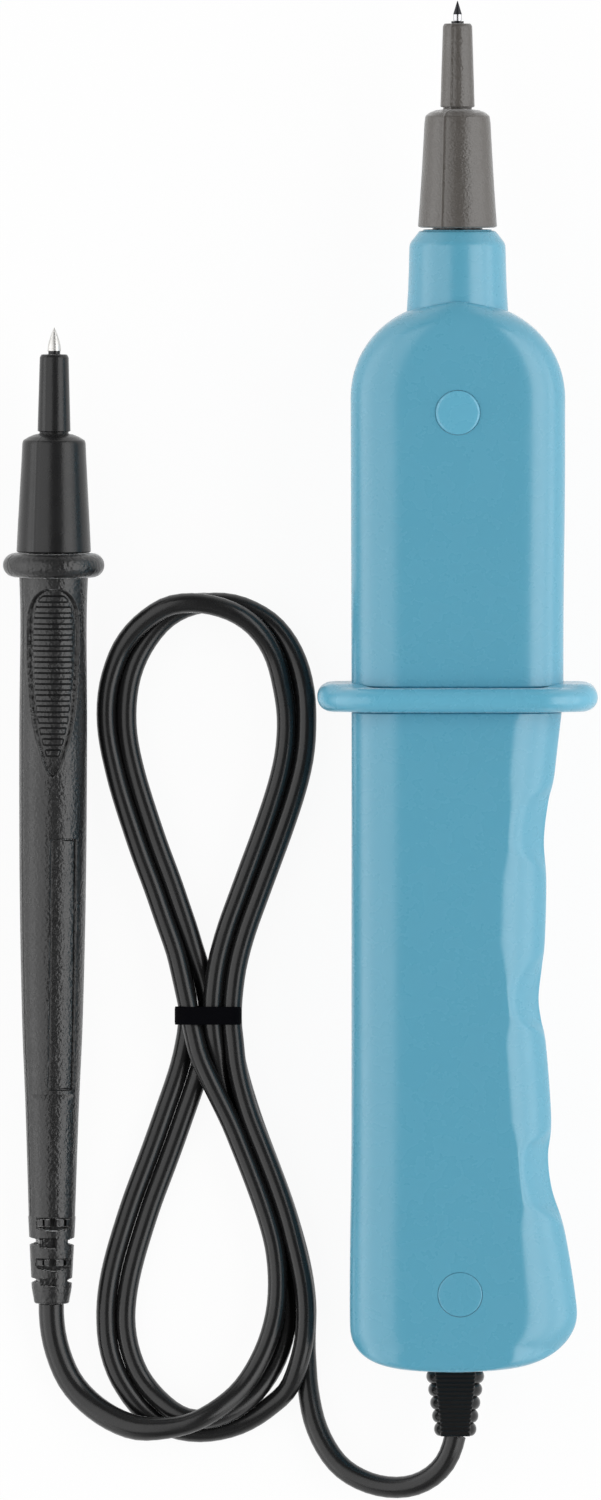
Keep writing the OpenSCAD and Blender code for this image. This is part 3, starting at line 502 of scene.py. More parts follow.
def add_node(tree: Tree, kind: str, **values: float | tuple | Socket) -> bpy.types.Node:
    """Adds a node to a tree and fills its sockets.

    Args:
        tree: The tree.
        kind: Kind of the node, without the leading ShaderNode.
        values: For each socket, by name with _ for each space, its value or what is linked to it.

    Returns:
        The node.
    """
    node = tree.nodes.new(f"ShaderNode{kind}")
    for key, value in values.items():
        socket = node.inputs[key.replace("_", " ")]
        if isinstance(value, Socket):
            tree.links.new(value, socket)
        else:
            socket.default_value = value
    return node


def add_math(tree: Tree, operation: str, first: Socket, second: float | Socket) -> Socket:
    """Adds a calculation to a tree.

    Args:
        tree: The tree.
        operation: What is calculated.
        first: The first value.
        second: The second value, as a number or from a socket.

    Returns:
        The socket that holds the result.
    """
    node = tree.nodes.new("ShaderNodeMath")
    node.operation = operation
    tree.links.new(first, node.inputs[0])
    if isinstance(second, Socket):
        tree.links.new(second, node.inputs[1])
    else:
        node.inputs[1].default_value = second
    return node.outputs[0]


@dataclass
class Graph:
    """Node graph of one material, read from Object coordinates."""

    name: str
    material: bpy.types.Material = field(init=False)

    def __post_init__(self) -> None:
        """Makes the material with its shader, output and coordinates."""
        self.material = bpy.data.materials.new(self.name)
        self.material.use_nodes = True
        self.tree = self.material.node_tree
        self.shader = self.tree.nodes["Principled BSDF"]
        self.place = self.tree.nodes.new("ShaderNodeTexCoord").outputs["Object"]

    def set(self, **values: float | Colour) -> None:
        """Sets sockets of the shader.

        Args:
            values: For each socket, by name with _ for each space, its number or colour.
        """
        for key, value in values.items():
            socket = self.shader.inputs[key.replace("_", " ")]
            socket.default_value = (*value, 1.0) if isinstance(value, tuple) else value

    def stretched(self, scale: Triple) -> Socket:
        """Object coordinates scaled by their own factor along each axis."""
        return add_node(self.tree, "Mapping", Scale=scale, Vector=self.place).outputs["Vector"]

    def noise(self, scale: float, detail: float = 2.0, place: Socket | None = None) -> Socket:
        """Noise of a scale in cells for each metre, from 0 to 1."""
        values = {"Scale": scale, "Detail": detail, "Vector": place or self.place}
        return add_node(self.tree, "TexNoise", **values).outputs["Fac"]

    def ramp(self, factor: Socket, low: float, high: float, a: Colour, b: Colour) -> Socket:
        """Runs from one colour to another as a factor rises.

        Args:
            factor: The factor.
            low: Factor up to which the first colour holds.
            high: Factor from which the second colour holds.
            a: The first colour.
            b: The second colour.

        Returns:
            The colour's socket.
        """
        node = add_node(self.tree, "ValToRGB", Fac=factor)
        for mark, place, colour in zip(node.color_ramp.elements, (low, high), (a, b)):
            mark.position, mark.color = place, (*colour, 1)
        return node.outputs["Color"]

    def level(self, factor: Socket, low: float, high: float) -> Socket:
        """Number that runs from low to high as the factor runs from 0.3 to 0.7."""
        ends = {"From_Min": 0.3, "From_Max": 0.7, "To_Min": low, "To_Max": high}
        return add_node(self.tree, "MapRange", Value=factor, **ends).outputs["Result"]

    def feed(self, key: str, source: Socket) -> None:
        """Links a source to a socket of the shader."""
        self.tree.links.new(source, self.shader.inputs[key])

    def bump(self, height: Socket, depth: float, strength: float) -> None:
        """Adds a bump on top of any bump made before.

        Args:
            height: Height of the surface, from 0 to 1.
            depth: Depth that a height of 1 stands for, in metres.
            strength: Strength of the bump.
        """
        node = add_node(self.tree, "Bump", Distance=depth, Strength=strength, Height=height)
        earlier = self.shader.inputs["Normal"]
        if earlier.is_linked:
            self.tree.links.new(earlier.links[0].from_socket, node.inputs["Normal"])
        self.tree.links.new(node.outputs["Normal"], earlier)


def shift(colour: Colour, by: float) -> Colour:
    """A colour made lighter or darker by a share of itself."""
    return tuple(float(min(c * (1 + by), 1.0)) for c in colour)


@dataclass(frozen=True)
class MouldedPlastic:
    """Moulded plastic or rubber with a fine grain, faint flow clouds and uneven gloss.

    Args:
        slot: The record's slot.
        colour: Base colour, linear.
        roughness: Mean roughness.
        grain: Grain cells for each metre.
        depth: Depth of the grain, in metres.
        strength: Strength of the grain.
        clouds: Share by which the colour drifts.
        specular: Strength of the reflection.
        streak: Factors that stretch the drift along each axis.
        sheen: Weight of the soft brightening towards grazing angles.
        fuzz: How far from the rim that brightening reaches.
    """

    slot: Slot
    colour: Colour
    roughness: float
    grain: float = 2600.0
    depth: float = 0.00003
    strength: float = 0.25
    clouds: float = 0.03
    specular: float = 0.5
    streak: Triple = (1.0, 1.0, 1.0)
    sheen: float = 0.0
    fuzz: float = 0.2

    def material(self, name: str) -> bpy.types.Material:
        """Builds the material of this finish.

        Args:
            name: Name of the material.

        Returns:
            The material.
        """
        graph = Graph(name)
        drift = graph.noise(45.0, 3.0, graph.stretched(self.streak))
        dark, pale = shift(self.colour, -self.clouds), shift(self.colour, self.clouds)
        graph.feed("Base Color", graph.ramp(drift, 0.3, 0.7, dark, pale))
        gloss = graph.noise(260.0, 3.0)
        graph.feed("Roughness", graph.level(gloss, self.roughness - 0.03, self.roughness + 0.04))
        graph.set(Specular_IOR_Level=self.specular)
        graph.set(Sheen_Weight=self.sheen, Sheen_Roughness=self.fuzz)
        graph.bump(graph.noise(self.grain / 9), self.depth * 2, self.strength * 0.5)
        graph.bump(graph.noise(self.grain), self.depth, self.strength)
        return graph.material


@dataclass(frozen=True)
class Metal:
    """Plated metal with fine turning or drawing marks.

    Args:
        slot: The record's slot.
        colour: Base colour, linear.
        roughness: Mean roughness.
        marks: Factors that stretch the marks along each axis.
    """

    slot: Slot
    colour: Colour
    roughness: float
    marks: Triple = (300.0, 3500.0, 300.0)

    def material(self, name: str) -> bpy.types.Material:
        """Builds the material of this finish.

        Args:
            name: Name of the material.

        Returns:
            The material.
        """
        graph = Graph(name)
        lines = graph.noise(1.0, 3.0, graph.stretched(self.marks))
        stain = graph.noise(400.0, 3.0)
        stained = shift(self.colour, -0.12)
        graph.feed("Base Color", graph.ramp(stain, 0.3, 0.75, stained, self.colour))
        graph.feed("Roughness", graph.level(lines, self.roughness - 0.06, self.roughness + 0.08))
        graph.set(Metallic=1.0)
        graph.bump(lines, 0.00001, 0.3)
        return graph.material


@dataclass(frozen=True)
class ClearPane:
    """Clear plastic window with a faint tint and a polished face."""

    slot: Slot = Slot.WINDOW
    colour: Colour = (0.86, 0.9, 0.92)

    def material(self, name: str) -> bpy.types.Material:
        """Builds the material of this finish.

        Args:
            name: Name of the material.

        Returns:
            The material.
        """
        graph = Graph(name)
        tint = graph.ramp(graph.noise(60.0), 0.3, 0.7, shift(self.colour, -0.03), self.colour)
        graph.feed("Base Color", tint)
        graph.set(Roughness=0.06, Transmission_Weight=0.92, IOR=1.49)
        graph.bump(graph.noise(140.0, 1.0), 0.00002, 0.15)
        return graph.material


@dataclass(frozen=True)
class BoardLacquer:
    """Green solder lacquer over copper tracks, drawn as cells of a fine mesh."""

    slot: Slot = Slot.BOARD
    colour: Colour = (0.012, 0.09, 0.035)
    track: Colour = (0.03, 0.16, 0.06)

    def material(self, name: str) -> bpy.types.Material:
        """Builds the material of this finish.

        Args:
            name: Name of the material.

        Returns:
            The material.
        """
        graph = Graph(name)
        cells = add_node(graph.tree, "TexVoronoi", Scale=420.0, Vector=graph.place)
        cells.feature, cells.distance = "F1", "CHEBYCHEV"
        edge = cells.outputs["Distance"]
        graph.feed("Base Color", graph.ramp(edge, 0.4, 0.46, self.colour, self.track))
        graph.set(Roughness=0.3)
        graph.bump(edge, 0.00003, 0.3)
        return graph.material


Finish = MouldedPlastic | Metal | ClearPane | BoardLacquer

BLUE = MouldedPlastic(
    Slot.HOUSING, (0.1, 0.365, 0.505), 0.27, grain=2400.0, depth=0.00002, strength=0.035,
    clouds=0.005, specular=0.75, sheen=0.5,
)
# Housing blue made lighter for the guard's bead and the upper plug: painted light, standing in for
# the light that these rounded parts catch.
PAINTED_LIGHT_BLUE = replace(BLUE, colour=(0.122, 0.425, 0.585), sheen=0.6)
GREY_COVER = MouldedPlastic(
    Slot.COVER, (0.08, 0.072, 0.064), 0.3, grain=2100.0, depth=0.00012, strength=1.0,
    clouds=0.08, specular=0.8, streak=(3.0, 0.35, 3.0), sheen=0.8, fuzz=0.3,
)
PROBE_BLACK = MouldedPlastic(
    Slot.PROBE, (0.01, 0.01, 0.0103), 0.28, grain=1600.0, depth=0.00018, strength=1.0,
    clouds=0.14, specular=0.65, sheen=1.0,
)
SMOOTH_BLACK = MouldedPlastic(
    Slot.BLACK, (0.011, 0.011, 0.0114), 0.27, grain=2400.0, depth=0.00004, strength=0.5,
    clouds=0.08, specular=0.42, sheen=0.4,
)
RUBBER = MouldedPlastic(
    Slot.RUBBER, (0.009, 0.009, 0.0093), 0.26, grain=2200.0, depth=0.00002, strength=0.2,
    clouds=0.1, sheen=0.3,
)
GLAND_RUBBER = MouldedPlastic(
    Slot.RUBBER, (0.011, 0.011, 0.0112), 0.17, grain=2200.0, depth=0.00002, strength=0.3,
    clouds=0.1, specular=0.24,
)
TIE_BLACK = MouldedPlastic(
    Slot.TIE, (0.0012, 0.0012, 0.0022), 0.8, grain=1800.0, strength=0.4, clouds=0.1, specular=0.05
)
STEEL = Metal(Slot.STEEL, (0.62, 0.62, 0.64), 0.2)
# Steel darkened nearly to black for the tip's point: painted shade, standing in for the dark
# surroundings that its cone reflects.
PAINTED_SHADE_STEEL = Metal(Slot.STEEL, (0.045, 0.045, 0.05), 0.4)
NICKEL = Metal(Slot.NICKEL, (0.72, 0.71, 0.69), 0.42)


def dress(made: bpy.types.Object, finish: Finish, body: str, *nodes: str) -> None:
    """Gives a new piece its finish and its body, hides the CAD nodes that it stands for, and logs
    its slot.

    Args:
        made: The piece.
        finish: Its finish.
        body: The body that it rides on.
        nodes: CAD nodes that it replaces.
    """
    made.data.materials.clear()
    made.data.materials.append(finish.material(f"{made.name}_finish"))
    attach(made, body)
    if nodes:
        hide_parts(*nodes)
    LOG.info("%s: %s", made.name, finish.slot.value)


# ---------------------------------------------------------------- the lead and its tie


PIXEL = 0.2  # millimetres for each pixel of the picture
PICTURE_ORIGIN = (300, 718.75)  # pixel that the frame's origin lies under


def from_picture(points: Array) -> Array:
    """Turns picture places (pixels across, pixels down, height in mm) into millimetres."""
    x, y = points[:, 0] - PICTURE_ORIGIN[0], PICTURE_ORIGIN[1] - points[:, 1]
    return np.stack([x * PIXEL, y * PIXEL, points[:, 2]], 1)


@dataclass
class Lead:
    """The lead from the second probe through its tied turns to the main unit.

    Its strands are named as they follow each other: out of the probe and round the lower loop, up
    through the tie and round the upper loop, down through the tie, and so on for three turns. Each
    mark holds its place in the picture, across and down in pixels, and its height in millimetres.
    """

    diameter: float = 4.0
    spacing: float = 2.0
    swells: tuple = ((0.27, 46.0), (0.09, 56.0))
    swell_fade: float = 14.0
    rounds: int = 160
    pull: float = 0.12
    ease: float = 0.2
    probe_exit: Triple = (-49.85, -117.12, 3.91)
    handle_exit: Triple = (31.05, -143.375, 12.398)
    out_of_probe: tuple = (
        (50.6, 1318, 3.5), (53.2, 1340, 2.9), (60, 1363, 2.4), (68, 1381, 2.3), (80.5, 1397, 2.5),
        (98, 1412, 3.6), (117, 1423, 5.0), (137, 1430, 6.4), (157, 1430, 7.6), (180, 1427.5, 8.4),
        (196, 1422.5, 8.6), (214, 1413, 8.2), (232, 1399.5, 7.2), (247, 1383, 6.4),
        (260.5, 1360, 6.0), (270, 1337, 5.9), (276.5, 1310, 5.8), (278, 1285, 5.8),
        (276.5, 1258, 5.8), (271, 1228, 5.8), (261.5, 1197, 5.8), (250, 1166, 5.8),
        (237, 1136, 5.8), (222.5, 1106, 6.0), (208, 1075, 6.3), (196, 1045, 6.6), (190, 1016, 6.6),
    )
    first_loop: tuple = (
        (186.5, 1000, 6.5), (181, 975, 6.2), (174, 945, 5.8), (163, 915, 5.5), (153, 885, 5.5),
        (141.5, 855, 5.5), (131.5, 825, 5.5), (121.5, 795, 5.5), (113.5, 765, 5.5), (107, 735, 5.5),
        (105.6, 707, 5.5), (109, 680, 5.7), (118.8, 653, 6.2), (133, 632, 7.2), (150, 615.5, 8.6),
        (168, 604.5, 9.8), (190, 602, 10), (213, 604.5, 10), (239.5, 614, 9.4), (260.5, 631, 8.2),
        (275, 656, 6.6), (282.5, 686, 5.7), (287, 715, 5.5), (286.5, 750, 5.5), (280.5, 780, 5.5),
        (270.5, 810, 5.5), (260, 840, 5.5), (248.5, 870, 5.5), (237.5, 900, 5.5), (226.5, 930, 5.8),
        (217, 965, 6.2), (212.5, 1000, 6.5), (212, 1016, 6.6),
    )
    second_turn: tuple = (
        (212.5, 1030, 6.4), (215, 1048, 5.6), (219, 1075, 3.8), (228, 1106, 2.3), (238, 1136, 2),
        (249.5, 1166, 2), (261, 1197, 2), (271.5, 1228, 2), (280, 1258, 2), (285.5, 1285, 2),
        (288.5, 1312, 2), (284.5, 1339, 2), (277, 1362, 2), (266, 1381, 2.4), (252.5, 1398, 3.2),
        (237, 1411, 4), (220, 1419.5, 4.6), (203, 1424, 4.8), (187, 1422.5, 4.6), (172, 1415, 3.6),
        (160, 1405, 2.6), (149.5, 1394, 2), (138, 1376, 2), (128, 1350, 2), (124, 1320, 2),
        (126, 1290, 2), (132.5, 1260, 2), (141.5, 1230, 2), (151.5, 1200, 2), (163.5, 1170, 2),
        (174.5, 1140, 2), (184.5, 1110, 2), (196, 1078, 2.1), (205, 1045, 2.4), (209, 1016, 2.6),
    )
    second_loop: tuple = (
        (206, 990, 2.6), (200, 968, 3.6), (192.5, 945, 4.8), (182.5, 915, 5.5), (172.5, 885, 5.5),
        (161, 855, 5.5), (150.5, 825, 5.5), (141, 795, 5.5), (132.5, 765, 5.5), (127, 735, 5.5),
        (126, 710, 5.5), (129, 682, 5.5), (137, 655, 5.6), (150.5, 633, 5.9), (168, 616, 6),
        (188, 605.5, 6), (210, 601.5, 6), (232, 602.5, 6), (253, 610.5, 6), (276, 625.5, 5.8),
        (294, 651.5, 5.6), (304, 682, 5.5), (307, 713, 5.5), (304.5, 750, 5.5), (298, 780, 5.5),
        (289.5, 810, 5.5), (279, 840, 5.5), (268, 870, 5.5), (257, 900, 5.6), (246, 930, 5.9),
        (236.5, 965, 6.2), (232, 1000, 6.5), (231.6, 1016, 6.6),
    )
    third_turn: tuple = (
        (232, 1030, 6.5), (234, 1050, 6.3), (239, 1080, 6), (247.5, 1110, 5.9), (257.5, 1140, 5.9),
        (269, 1170, 5.9), (280.5, 1200, 5.9), (290.5, 1230, 5.9), (298.5, 1260, 5.9),
        (304.5, 1290, 5.9), (306, 1318, 5.9), (304, 1345, 5.8), (299.5, 1364, 5.4),
        (294, 1381, 4.6), (286.5, 1395, 3.6), (273.5, 1405, 2.6), (258, 1417, 2.1),
        (240, 1425.5, 2), (222, 1430, 2), (204, 1432.5, 2), (186, 1432.5, 2), (169, 1429, 2),
        (155, 1421, 2), (141.5, 1410.5, 2), (129, 1396, 2), (117.5, 1378, 2), (108.5, 1350, 2),
        (105.5, 1320, 2), (108.5, 1290, 2), (115, 1260, 2), (124, 1230, 2), (133.5, 1200, 2),
        (144.5, 1170, 2), (155.5, 1140, 2), (166.5, 1110, 2), (177, 1080, 2), (185, 1050, 2.3),
        (188.5, 1016, 2.6),
    )
    third_loop: tuple = (
        (186, 990, 2.3), (179, 960, 2), (171, 930, 2), (161.5, 900, 2), (151.5, 870, 2),
        (141, 840, 2), (131, 810, 2), (123.5, 780, 2), (118, 750, 2), (116, 720, 2),
        (118.5, 690, 2), (126, 662, 2), (138, 638, 2), (156, 618, 2), (178, 605, 2),
        (203, 601.5, 2), (228, 604, 2), (250, 615, 2), (269.5, 635, 2), (284, 662, 2),
        (293.5, 692, 2), (297, 722, 2), (295, 750, 2), (289, 780, 2), (280, 810, 2),
        (269.5, 840, 2), (258, 870, 2), (247, 900, 2), (237, 930, 2), (230.5, 965, 2.2),
        (229.5, 1016, 2.6),
    )
    to_handle: tuple = (
        (232.5, 1045, 2.3), (238.5, 1075, 2), (248, 1108, 2), (259, 1140, 2), (270.5, 1170, 2),
        (282, 1200, 2), (291.5, 1230, 2), (299.5, 1260, 2), (304.5, 1290, 2), (306, 1320, 2),
        (305.5, 1350, 2), (306.5, 1378, 2.1), (309, 1398, 2.4), (313.5, 1421.5, 2.8),
        (323, 1444.5, 3.4), (339, 1467.5, 4.5), (361, 1481.5, 5.8), (385, 1488.5, 7.3),
        (410, 1488, 9), (430, 1479.5, 10.4), (444.5, 1466, 11.6), (451.5, 1452.5, 12.15),
        (454.4, 1441, 12.3),
    )

    def drawn(self) -> Array:
        """The route as it is seen in the picture, a point every spacing along it.

        Returns:
            Points of shape (n, 3), in millimetres.
        """
        strands = (
            self.out_of_probe + self.first_loop + self.second_turn + self.second_loop
            + self.third_turn + self.third_loop + self.to_handle
        )
        middle = from_picture(np.array(strands, float))
        route = smooth_path(np.vstack([self.probe_exit, middle, self.handle_exit]), 8)
        along = np.concatenate([[0], np.cumsum(np.linalg.norm(np.diff(route, axis=0), axis=1))])
        at = np.linspace(0, along[-1], int(along[-1] / self.spacing) + 1)
        return np.stack([np.interp(at, along, route[:, k]) for k in range(3)], 1)

    def settled(self) -> Array:
        """Lets the strands push each other apart until they lie beside and on each other.

        In each round every two points of different strands closer than a diameter move apart by
        half of what is missing. Each point is then drawn a little to its neighbours' middle and,
        less in height than across, to its place in the picture, both less and less as the rounds
        go on. None sinks below the table.

        Returns:
            Points of shape (n, 3), in millimetres.
        """
        aim = self.drawn()
        lie = aim.copy()
        count = len(aim)
        index = np.arange(count)
        far = np.abs(index[:, None] - index[None, :]) * self.spacing > 3 * self.diameter
        hold = np.minimum(np.minimum(index, count - 1 - index) / 6, 1)[:, None]
        for turn in range(self.rounds):
            left = 1 - turn / self.rounds
            gap = lie[:, None] - lie[None, :]
            length = np.sqrt((gap**2).sum(-1)) + 1e-6
            short = np.where(far & (length < self.diameter), self.diameter - length, 0) / length
            push = (gap * short[..., None]).sum(1) * 0.25
            lie = lie + push * hold
            lie[1:-1] += hold[1:-1] * self.ease * left * ((lie[:-2] + lie[2:]) / 2 - lie[1:-1])
            lie += hold * self.pull * left * (aim - lie) * np.array([1.0, 1.0, 0.3])
            lie[:, 2] = np.maximum(lie[:, 2], self.diameter / 2)
        return lie

    def build(self, tie: bpy.types.Object) -> bpy.types.Object:
        """It is a little thicker over its first and its last few centimetres.

        Args:
            tie: The tie round its strands; not used.

        Returns:
            The curve object.
        """
        route = self.settled() * MM
        curve = bpy.data.curves.new("lead", "CURVE")
        curve.dimensions, curve.bevel_depth = "3D", self.diameter / 2 * MM
        curve.bevel_resolution, curve.use_fill_caps = 6, True
        line = curve.splines.new("POLY")
        line.points.add(len(route) - 1)
        line.points.foreach_set("co", np.column_stack([route, np.ones(len(route))]).ravel())
        from_end = np.arange(len(route)) * self.spacing
        wide = np.ones(len(route))
        for (share, reach), past in zip(self.swells, (from_end, from_end[::-1])):
            wide += share * rise(reach - past, 0.0, self.swell_fade)
        line.points.foreach_set("radius", wide)
        line.use_smooth = True
        made = add_object("lead", curve)
        dress(made, RUBBER, ROOT_BODY, "probe_lead", "cord_hank", "handle_lead")
        return made


@dataclass
class CableTie:
    """Flat black band drawn round the waist of the tied turns."""

    middle: tuple[float, float] = (-18.4, -59.45)
    width: float = 3.6
    thickness: float = 0.62
    span: float = 13.4
    height: float = 9.2
    corner: float = 2.3

    def build(self) -> bpy.types.Object:
        """Carries a small rounded strip profile once round the strands.

        The outline is a rounded box in XZ. At each of its points the strip's section, a rounded
        box of thickness by width, stands between the outline and the outline moved inwards.

        Returns:
            The band.
        """
        outer = rounded_box(self.span, self.height, self.corner, 12)
        less = 2 * self.thickness
        inner = rounded_box(self.span - less, self.height - less, self.corner - less / 2, 12)
        section = rounded_box(1.0, 1.0, 0.2, 5)
        share, across = section[:, 0] + 0.5, section[:, 1] * self.width
        ring = inner[None] + share[:, None, None] * (outer - inner)[None]
        x = self.middle[0] + ring[..., 0]
        z = self.height / 2 + ring[..., 1]
        y = np.broadcast_to(self.middle[1] + across[:, None], x.shape)
        made = shell_object("cable_tie", tube(np.stack([x, y, z], -1), loop=True), AS_DRAWN, 32.0)
        dress(made, TIE_BLACK, ROOT_BODY, "cord_tie")
        return made


# ---------------------------------------------------------------- main unit


SCREW_PLACES = ((0.0, 57.0), (0.5, -119.0))


@dataclass
class MainHousing:
    """The two housing halves with their finger grooves, and the neck in front of them."""

    body_w: float = 42.3
    body_d: float = 26.0
    upper_len: float = 79.0
    grip_len: float = 134.6
    edge_r: float = 8.0
    wall: float = 2.0
    shoulder_len: float = 19.6
    shoulder_power: float = 2.1
    crown_r: float = 8.2
    crown_run: float = 5.8
    tail_len: float = 13.2
    left_tail: float = 10.6
    tail_r: float = 1.4
    tail_close: float = 0.6
    left_power: float = 3.1
    right_power: float = 2.65
    neck_len: float = 14.1
    holder_r: float = 6.5
    plug_r: float = 4.5
    well_depth: float = 3.2
    window: Triple = (9.0, 40.0, 28.0)
    sound_y: float = -14.0
    sound_hole_r: float = 0.7
    sound_ring_r: float = 3.0
    edge_line: tuple = (
        (0, 0), (10.7, -1.25), (16.5, -1.95), (21, -3.05), (28.7, -3.9), (36.7, -3.4), (48.7, -3.7),
        (53.5, -4.25), (60, -4.95), (64.7, -4.4), (69.5, -3.45), (84.5, -2.4), (91.7, -3.05),
        (98.7, -2.2), (107, 0.35), (121.5, 2.66), (128, 2.7),
    )
    crest_line: tuple = (
        (0, 0), (10.7, -1.25), (15, -1.75), (37, -3.4), (48.7, -3.7), (69.5, -3.45), (84.5, -2.4),
        (107, 0.35), (121.5, 2.66), (128, 2.7),
    )
    face_line: tuple = (
        (0, 12.2), (4, 11.3), (14, 10.4), (30.7, 9.15), (48.7, 8.55), (68.7, 9.75), (94.7, 11.55),
        (102.7, 12.35), (120.7, 13.75), (134.7, 13.9),
    )
    left_corner: float = 10.8
    right_corner: float = 9.2
    grip_bend: float = 0.35
    groove_taper: float = 1.15
    crease: float = 0.07
    softness: float = 0.45
    hollow: float = 1.7
    swells: tuple[float, float] = (0.34, 0.32)
    widening: float = 0.003
    guard_lines: tuple[float, float] = (2.14, -2.86)
    line_size: tuple[float, float] = (0.15, 0.4)
    nick: float = 0.14
    sharp: float = 28.0

    def edge_change(self, down: Array) -> Array:
        """Change of the right half width below the guard, on a smooth line through its marks."""
        line = smooth_path(np.array(self.edge_line, float), 8)
        return np.interp(down, line[:, 0], line[:, 1])

    def groove_fill(self, down: Array, lift: Array) -> Array:
        """How far a finger groove is filled at a height up the rounded edge.

        The groove is the space between the crest line and the edge line. Up the edge its floor
        rises by the taper until it meets the crest, softly where the groove starts and with a
        crease at its lower end. Half way up, the open groove is hollowed a little further.

        Args:
            down: Distances below the guard, shape (rows, 1).
            lift: Height up the rounded edge from 0 to 1, shape (1, columns).

        Returns:
            Distances to add to the half width, shape (rows, columns).
        """
        crest = np.array(self.crest_line, float)
        edge = self.edge_change(down)
        depth = np.maximum(np.interp(down, crest[:, 0], crest[:, 1]) - edge, 0)
        depth = np.where((down > 0) & (down < crest[-1, 0]), depth, 0)
        slope = np.gradient(edge[:, 0], down[:, 0])[:, None]
        soft = self.crease + self.softness * (0.5 - 0.5 * np.tanh(25 * slope))
        floor = self.groove_taper * lift
        mixed = 0.5 * (depth + floor - np.sqrt((depth - floor) ** 2 + soft**2))
        start = 0.5 * (depth - np.sqrt(depth**2 + soft**2))
        scoop = np.clip(1 - floor / np.maximum(depth, 0.05), 0, 1) * np.sin(np.pi * lift)
        filled = np.maximum(mixed - start, 0) * np.minimum(depth / 0.15, 1)
        return filled - self.hollow * scoop * np.minimum(depth, 1)

    def half_widths(self, y: Array) -> tuple[Array, Array, Array]:
        """Half widths of the body along Y.

        The body widens a little towards the shoulder and has a faint swell low on its left and
        high on its right. Both half widths shrink as power curves over the shoulder and in the
        tail, and the right one follows the edge line in the grip.

        Args:
            y: Rows at which the widths are read.

        Returns:
            The left half width, the right one, and the share of the right one that its ends leave.
        """
        over = power_fall(y - self.upper_len, self.shoulder_len, self.shoulder_power)
        left_tail = power_fall(-y - self.grip_len, self.left_tail, self.left_power)
        share = over * power_fall(-y - self.grip_len, self.tail_len, self.right_power)
        left_swell, right_swell = self.swells
        left = self.body_w / 2 + self.widening * np.clip(y, 0, 60) + left_swell * rise(-y, 85, 118)
        right = self.body_w / 2 + self.edge_change(-y) + right_swell * rise(y, 12, 48)
        return left * over * left_tail, right * share, share

    def half_depth(self, y: Array) -> Array:
        """Half depth of the body along Y.

        It turns in at the crown and at the tail by r - sqrt(r^2 - p^2), with p the distance past
        the start of the turn.

        Args:
            y: Rows at which the depth is read.

        Returns:
            The half depths.
        """
        depth = np.full_like(y, self.body_d / 2)
        crown = (y - self.upper_len + self.crown_run, self.crown_r)
        tail = (-y - self.grip_len + self.tail_r, self.tail_r)
        for past, r in (crown, tail):
            depth = depth - (r - np.sqrt(r * r - np.clip(past, 0, r) ** 2))
        return depth

    def ellipse_widths(self, y: Array, inset: float, share: Array) -> tuple[Array, Array]:
        """Widths of the left and right quarter ellipses along Y, at a share of their full size.

        The left one is constant. The right one is constant in the upper part and reaches from the
        edge line to the face line in the grip.

        Args:
            y: Rows at which the widths are read.
            inset: How far the skin is drawn inwards.
            share: Share of the full size that is left at each row.

        Returns:
            The left and the right width.
        """
        face = np.array(self.face_line, float)
        reach = self.body_w / 2 + self.edge_change(-y) - np.interp(-y, face[:, 0], face[:, 1])
        wide = self.right_corner + (1.06 * reach - self.right_corner) * self.gripped(y)
        return (self.left_corner - inset) * share, (wide - inset) * share

    def gripped(self, y: Array) -> Array:
        """Smooth step from 0 above the guard to 1 in the grip."""
        return rise(-y, -2.0, 6.0)

    def sheet(self, y: Array, inset: float) -> Array:
        """Upper half of the skin as a grid of rows along Y and columns round the section.

        A section goes up the right side, round a quarter ellipse as high as the edge radius and as
        wide as the face line asks, across the flat back, round the other quarter ellipse and down
        the left side. In the grip the right ellipse is drawn flatter towards a chamfer. The
        rounded edge gets tighter towards the tail. Two fine lines go round beside the guard, and
        the outer skin is nicked in a little along the parting plane.

        Args:
            y: Rows, shape (rows,).
            inset: How far the skin is drawn inwards, 0 for the outer skin.

        Returns:
            Points of shape (rows, columns, 3).
        """
        left, right, ends = self.half_widths(y)
        left, right, depth = left - inset, right - inset, self.half_depth(y) - inset
        tail = (-y - self.grip_len + self.tail_len) / self.tail_len
        closing = 1 - self.tail_close * rise(tail, 0.6, 0.98)
        corner = np.minimum((self.edge_r - inset) * closing, 0.95 * np.minimum(left, right))
        left_wide, right_wide = self.ellipse_widths(y, inset, corner / (self.edge_r - inset))
        left_wide = np.minimum(left_wide, 0.95 * left)[:, None]
        right_wide = np.minimum(right_wide, 0.95 * right)[:, None]
        bend = (1 + self.grip_bend * self.gripped(y))[:, None]
        fine, deep = self.line_size
        line = sum(deep * bell(y - place, fine) for place in self.guard_lines) * (inset == 0)
        left, right, depth = ((v - line)[:, None] for v in (left, right, depth))
        corner = corner[:, None]
        # Each side has three points close to the parting plane and four more up to the edge
        climb = np.array([0.0, 0.0001, 0.3] if inset else [0.02, 0.16, 0.3])
        up = np.concatenate([climb / 13, np.linspace(0.15, 0.95, 4)])[None, :]
        shy = (0 if inset else self.nick) * (np.arange(up.shape[1]) == 0)
        side_z = up * (depth - corner)
        side_z[:, :3] = climb
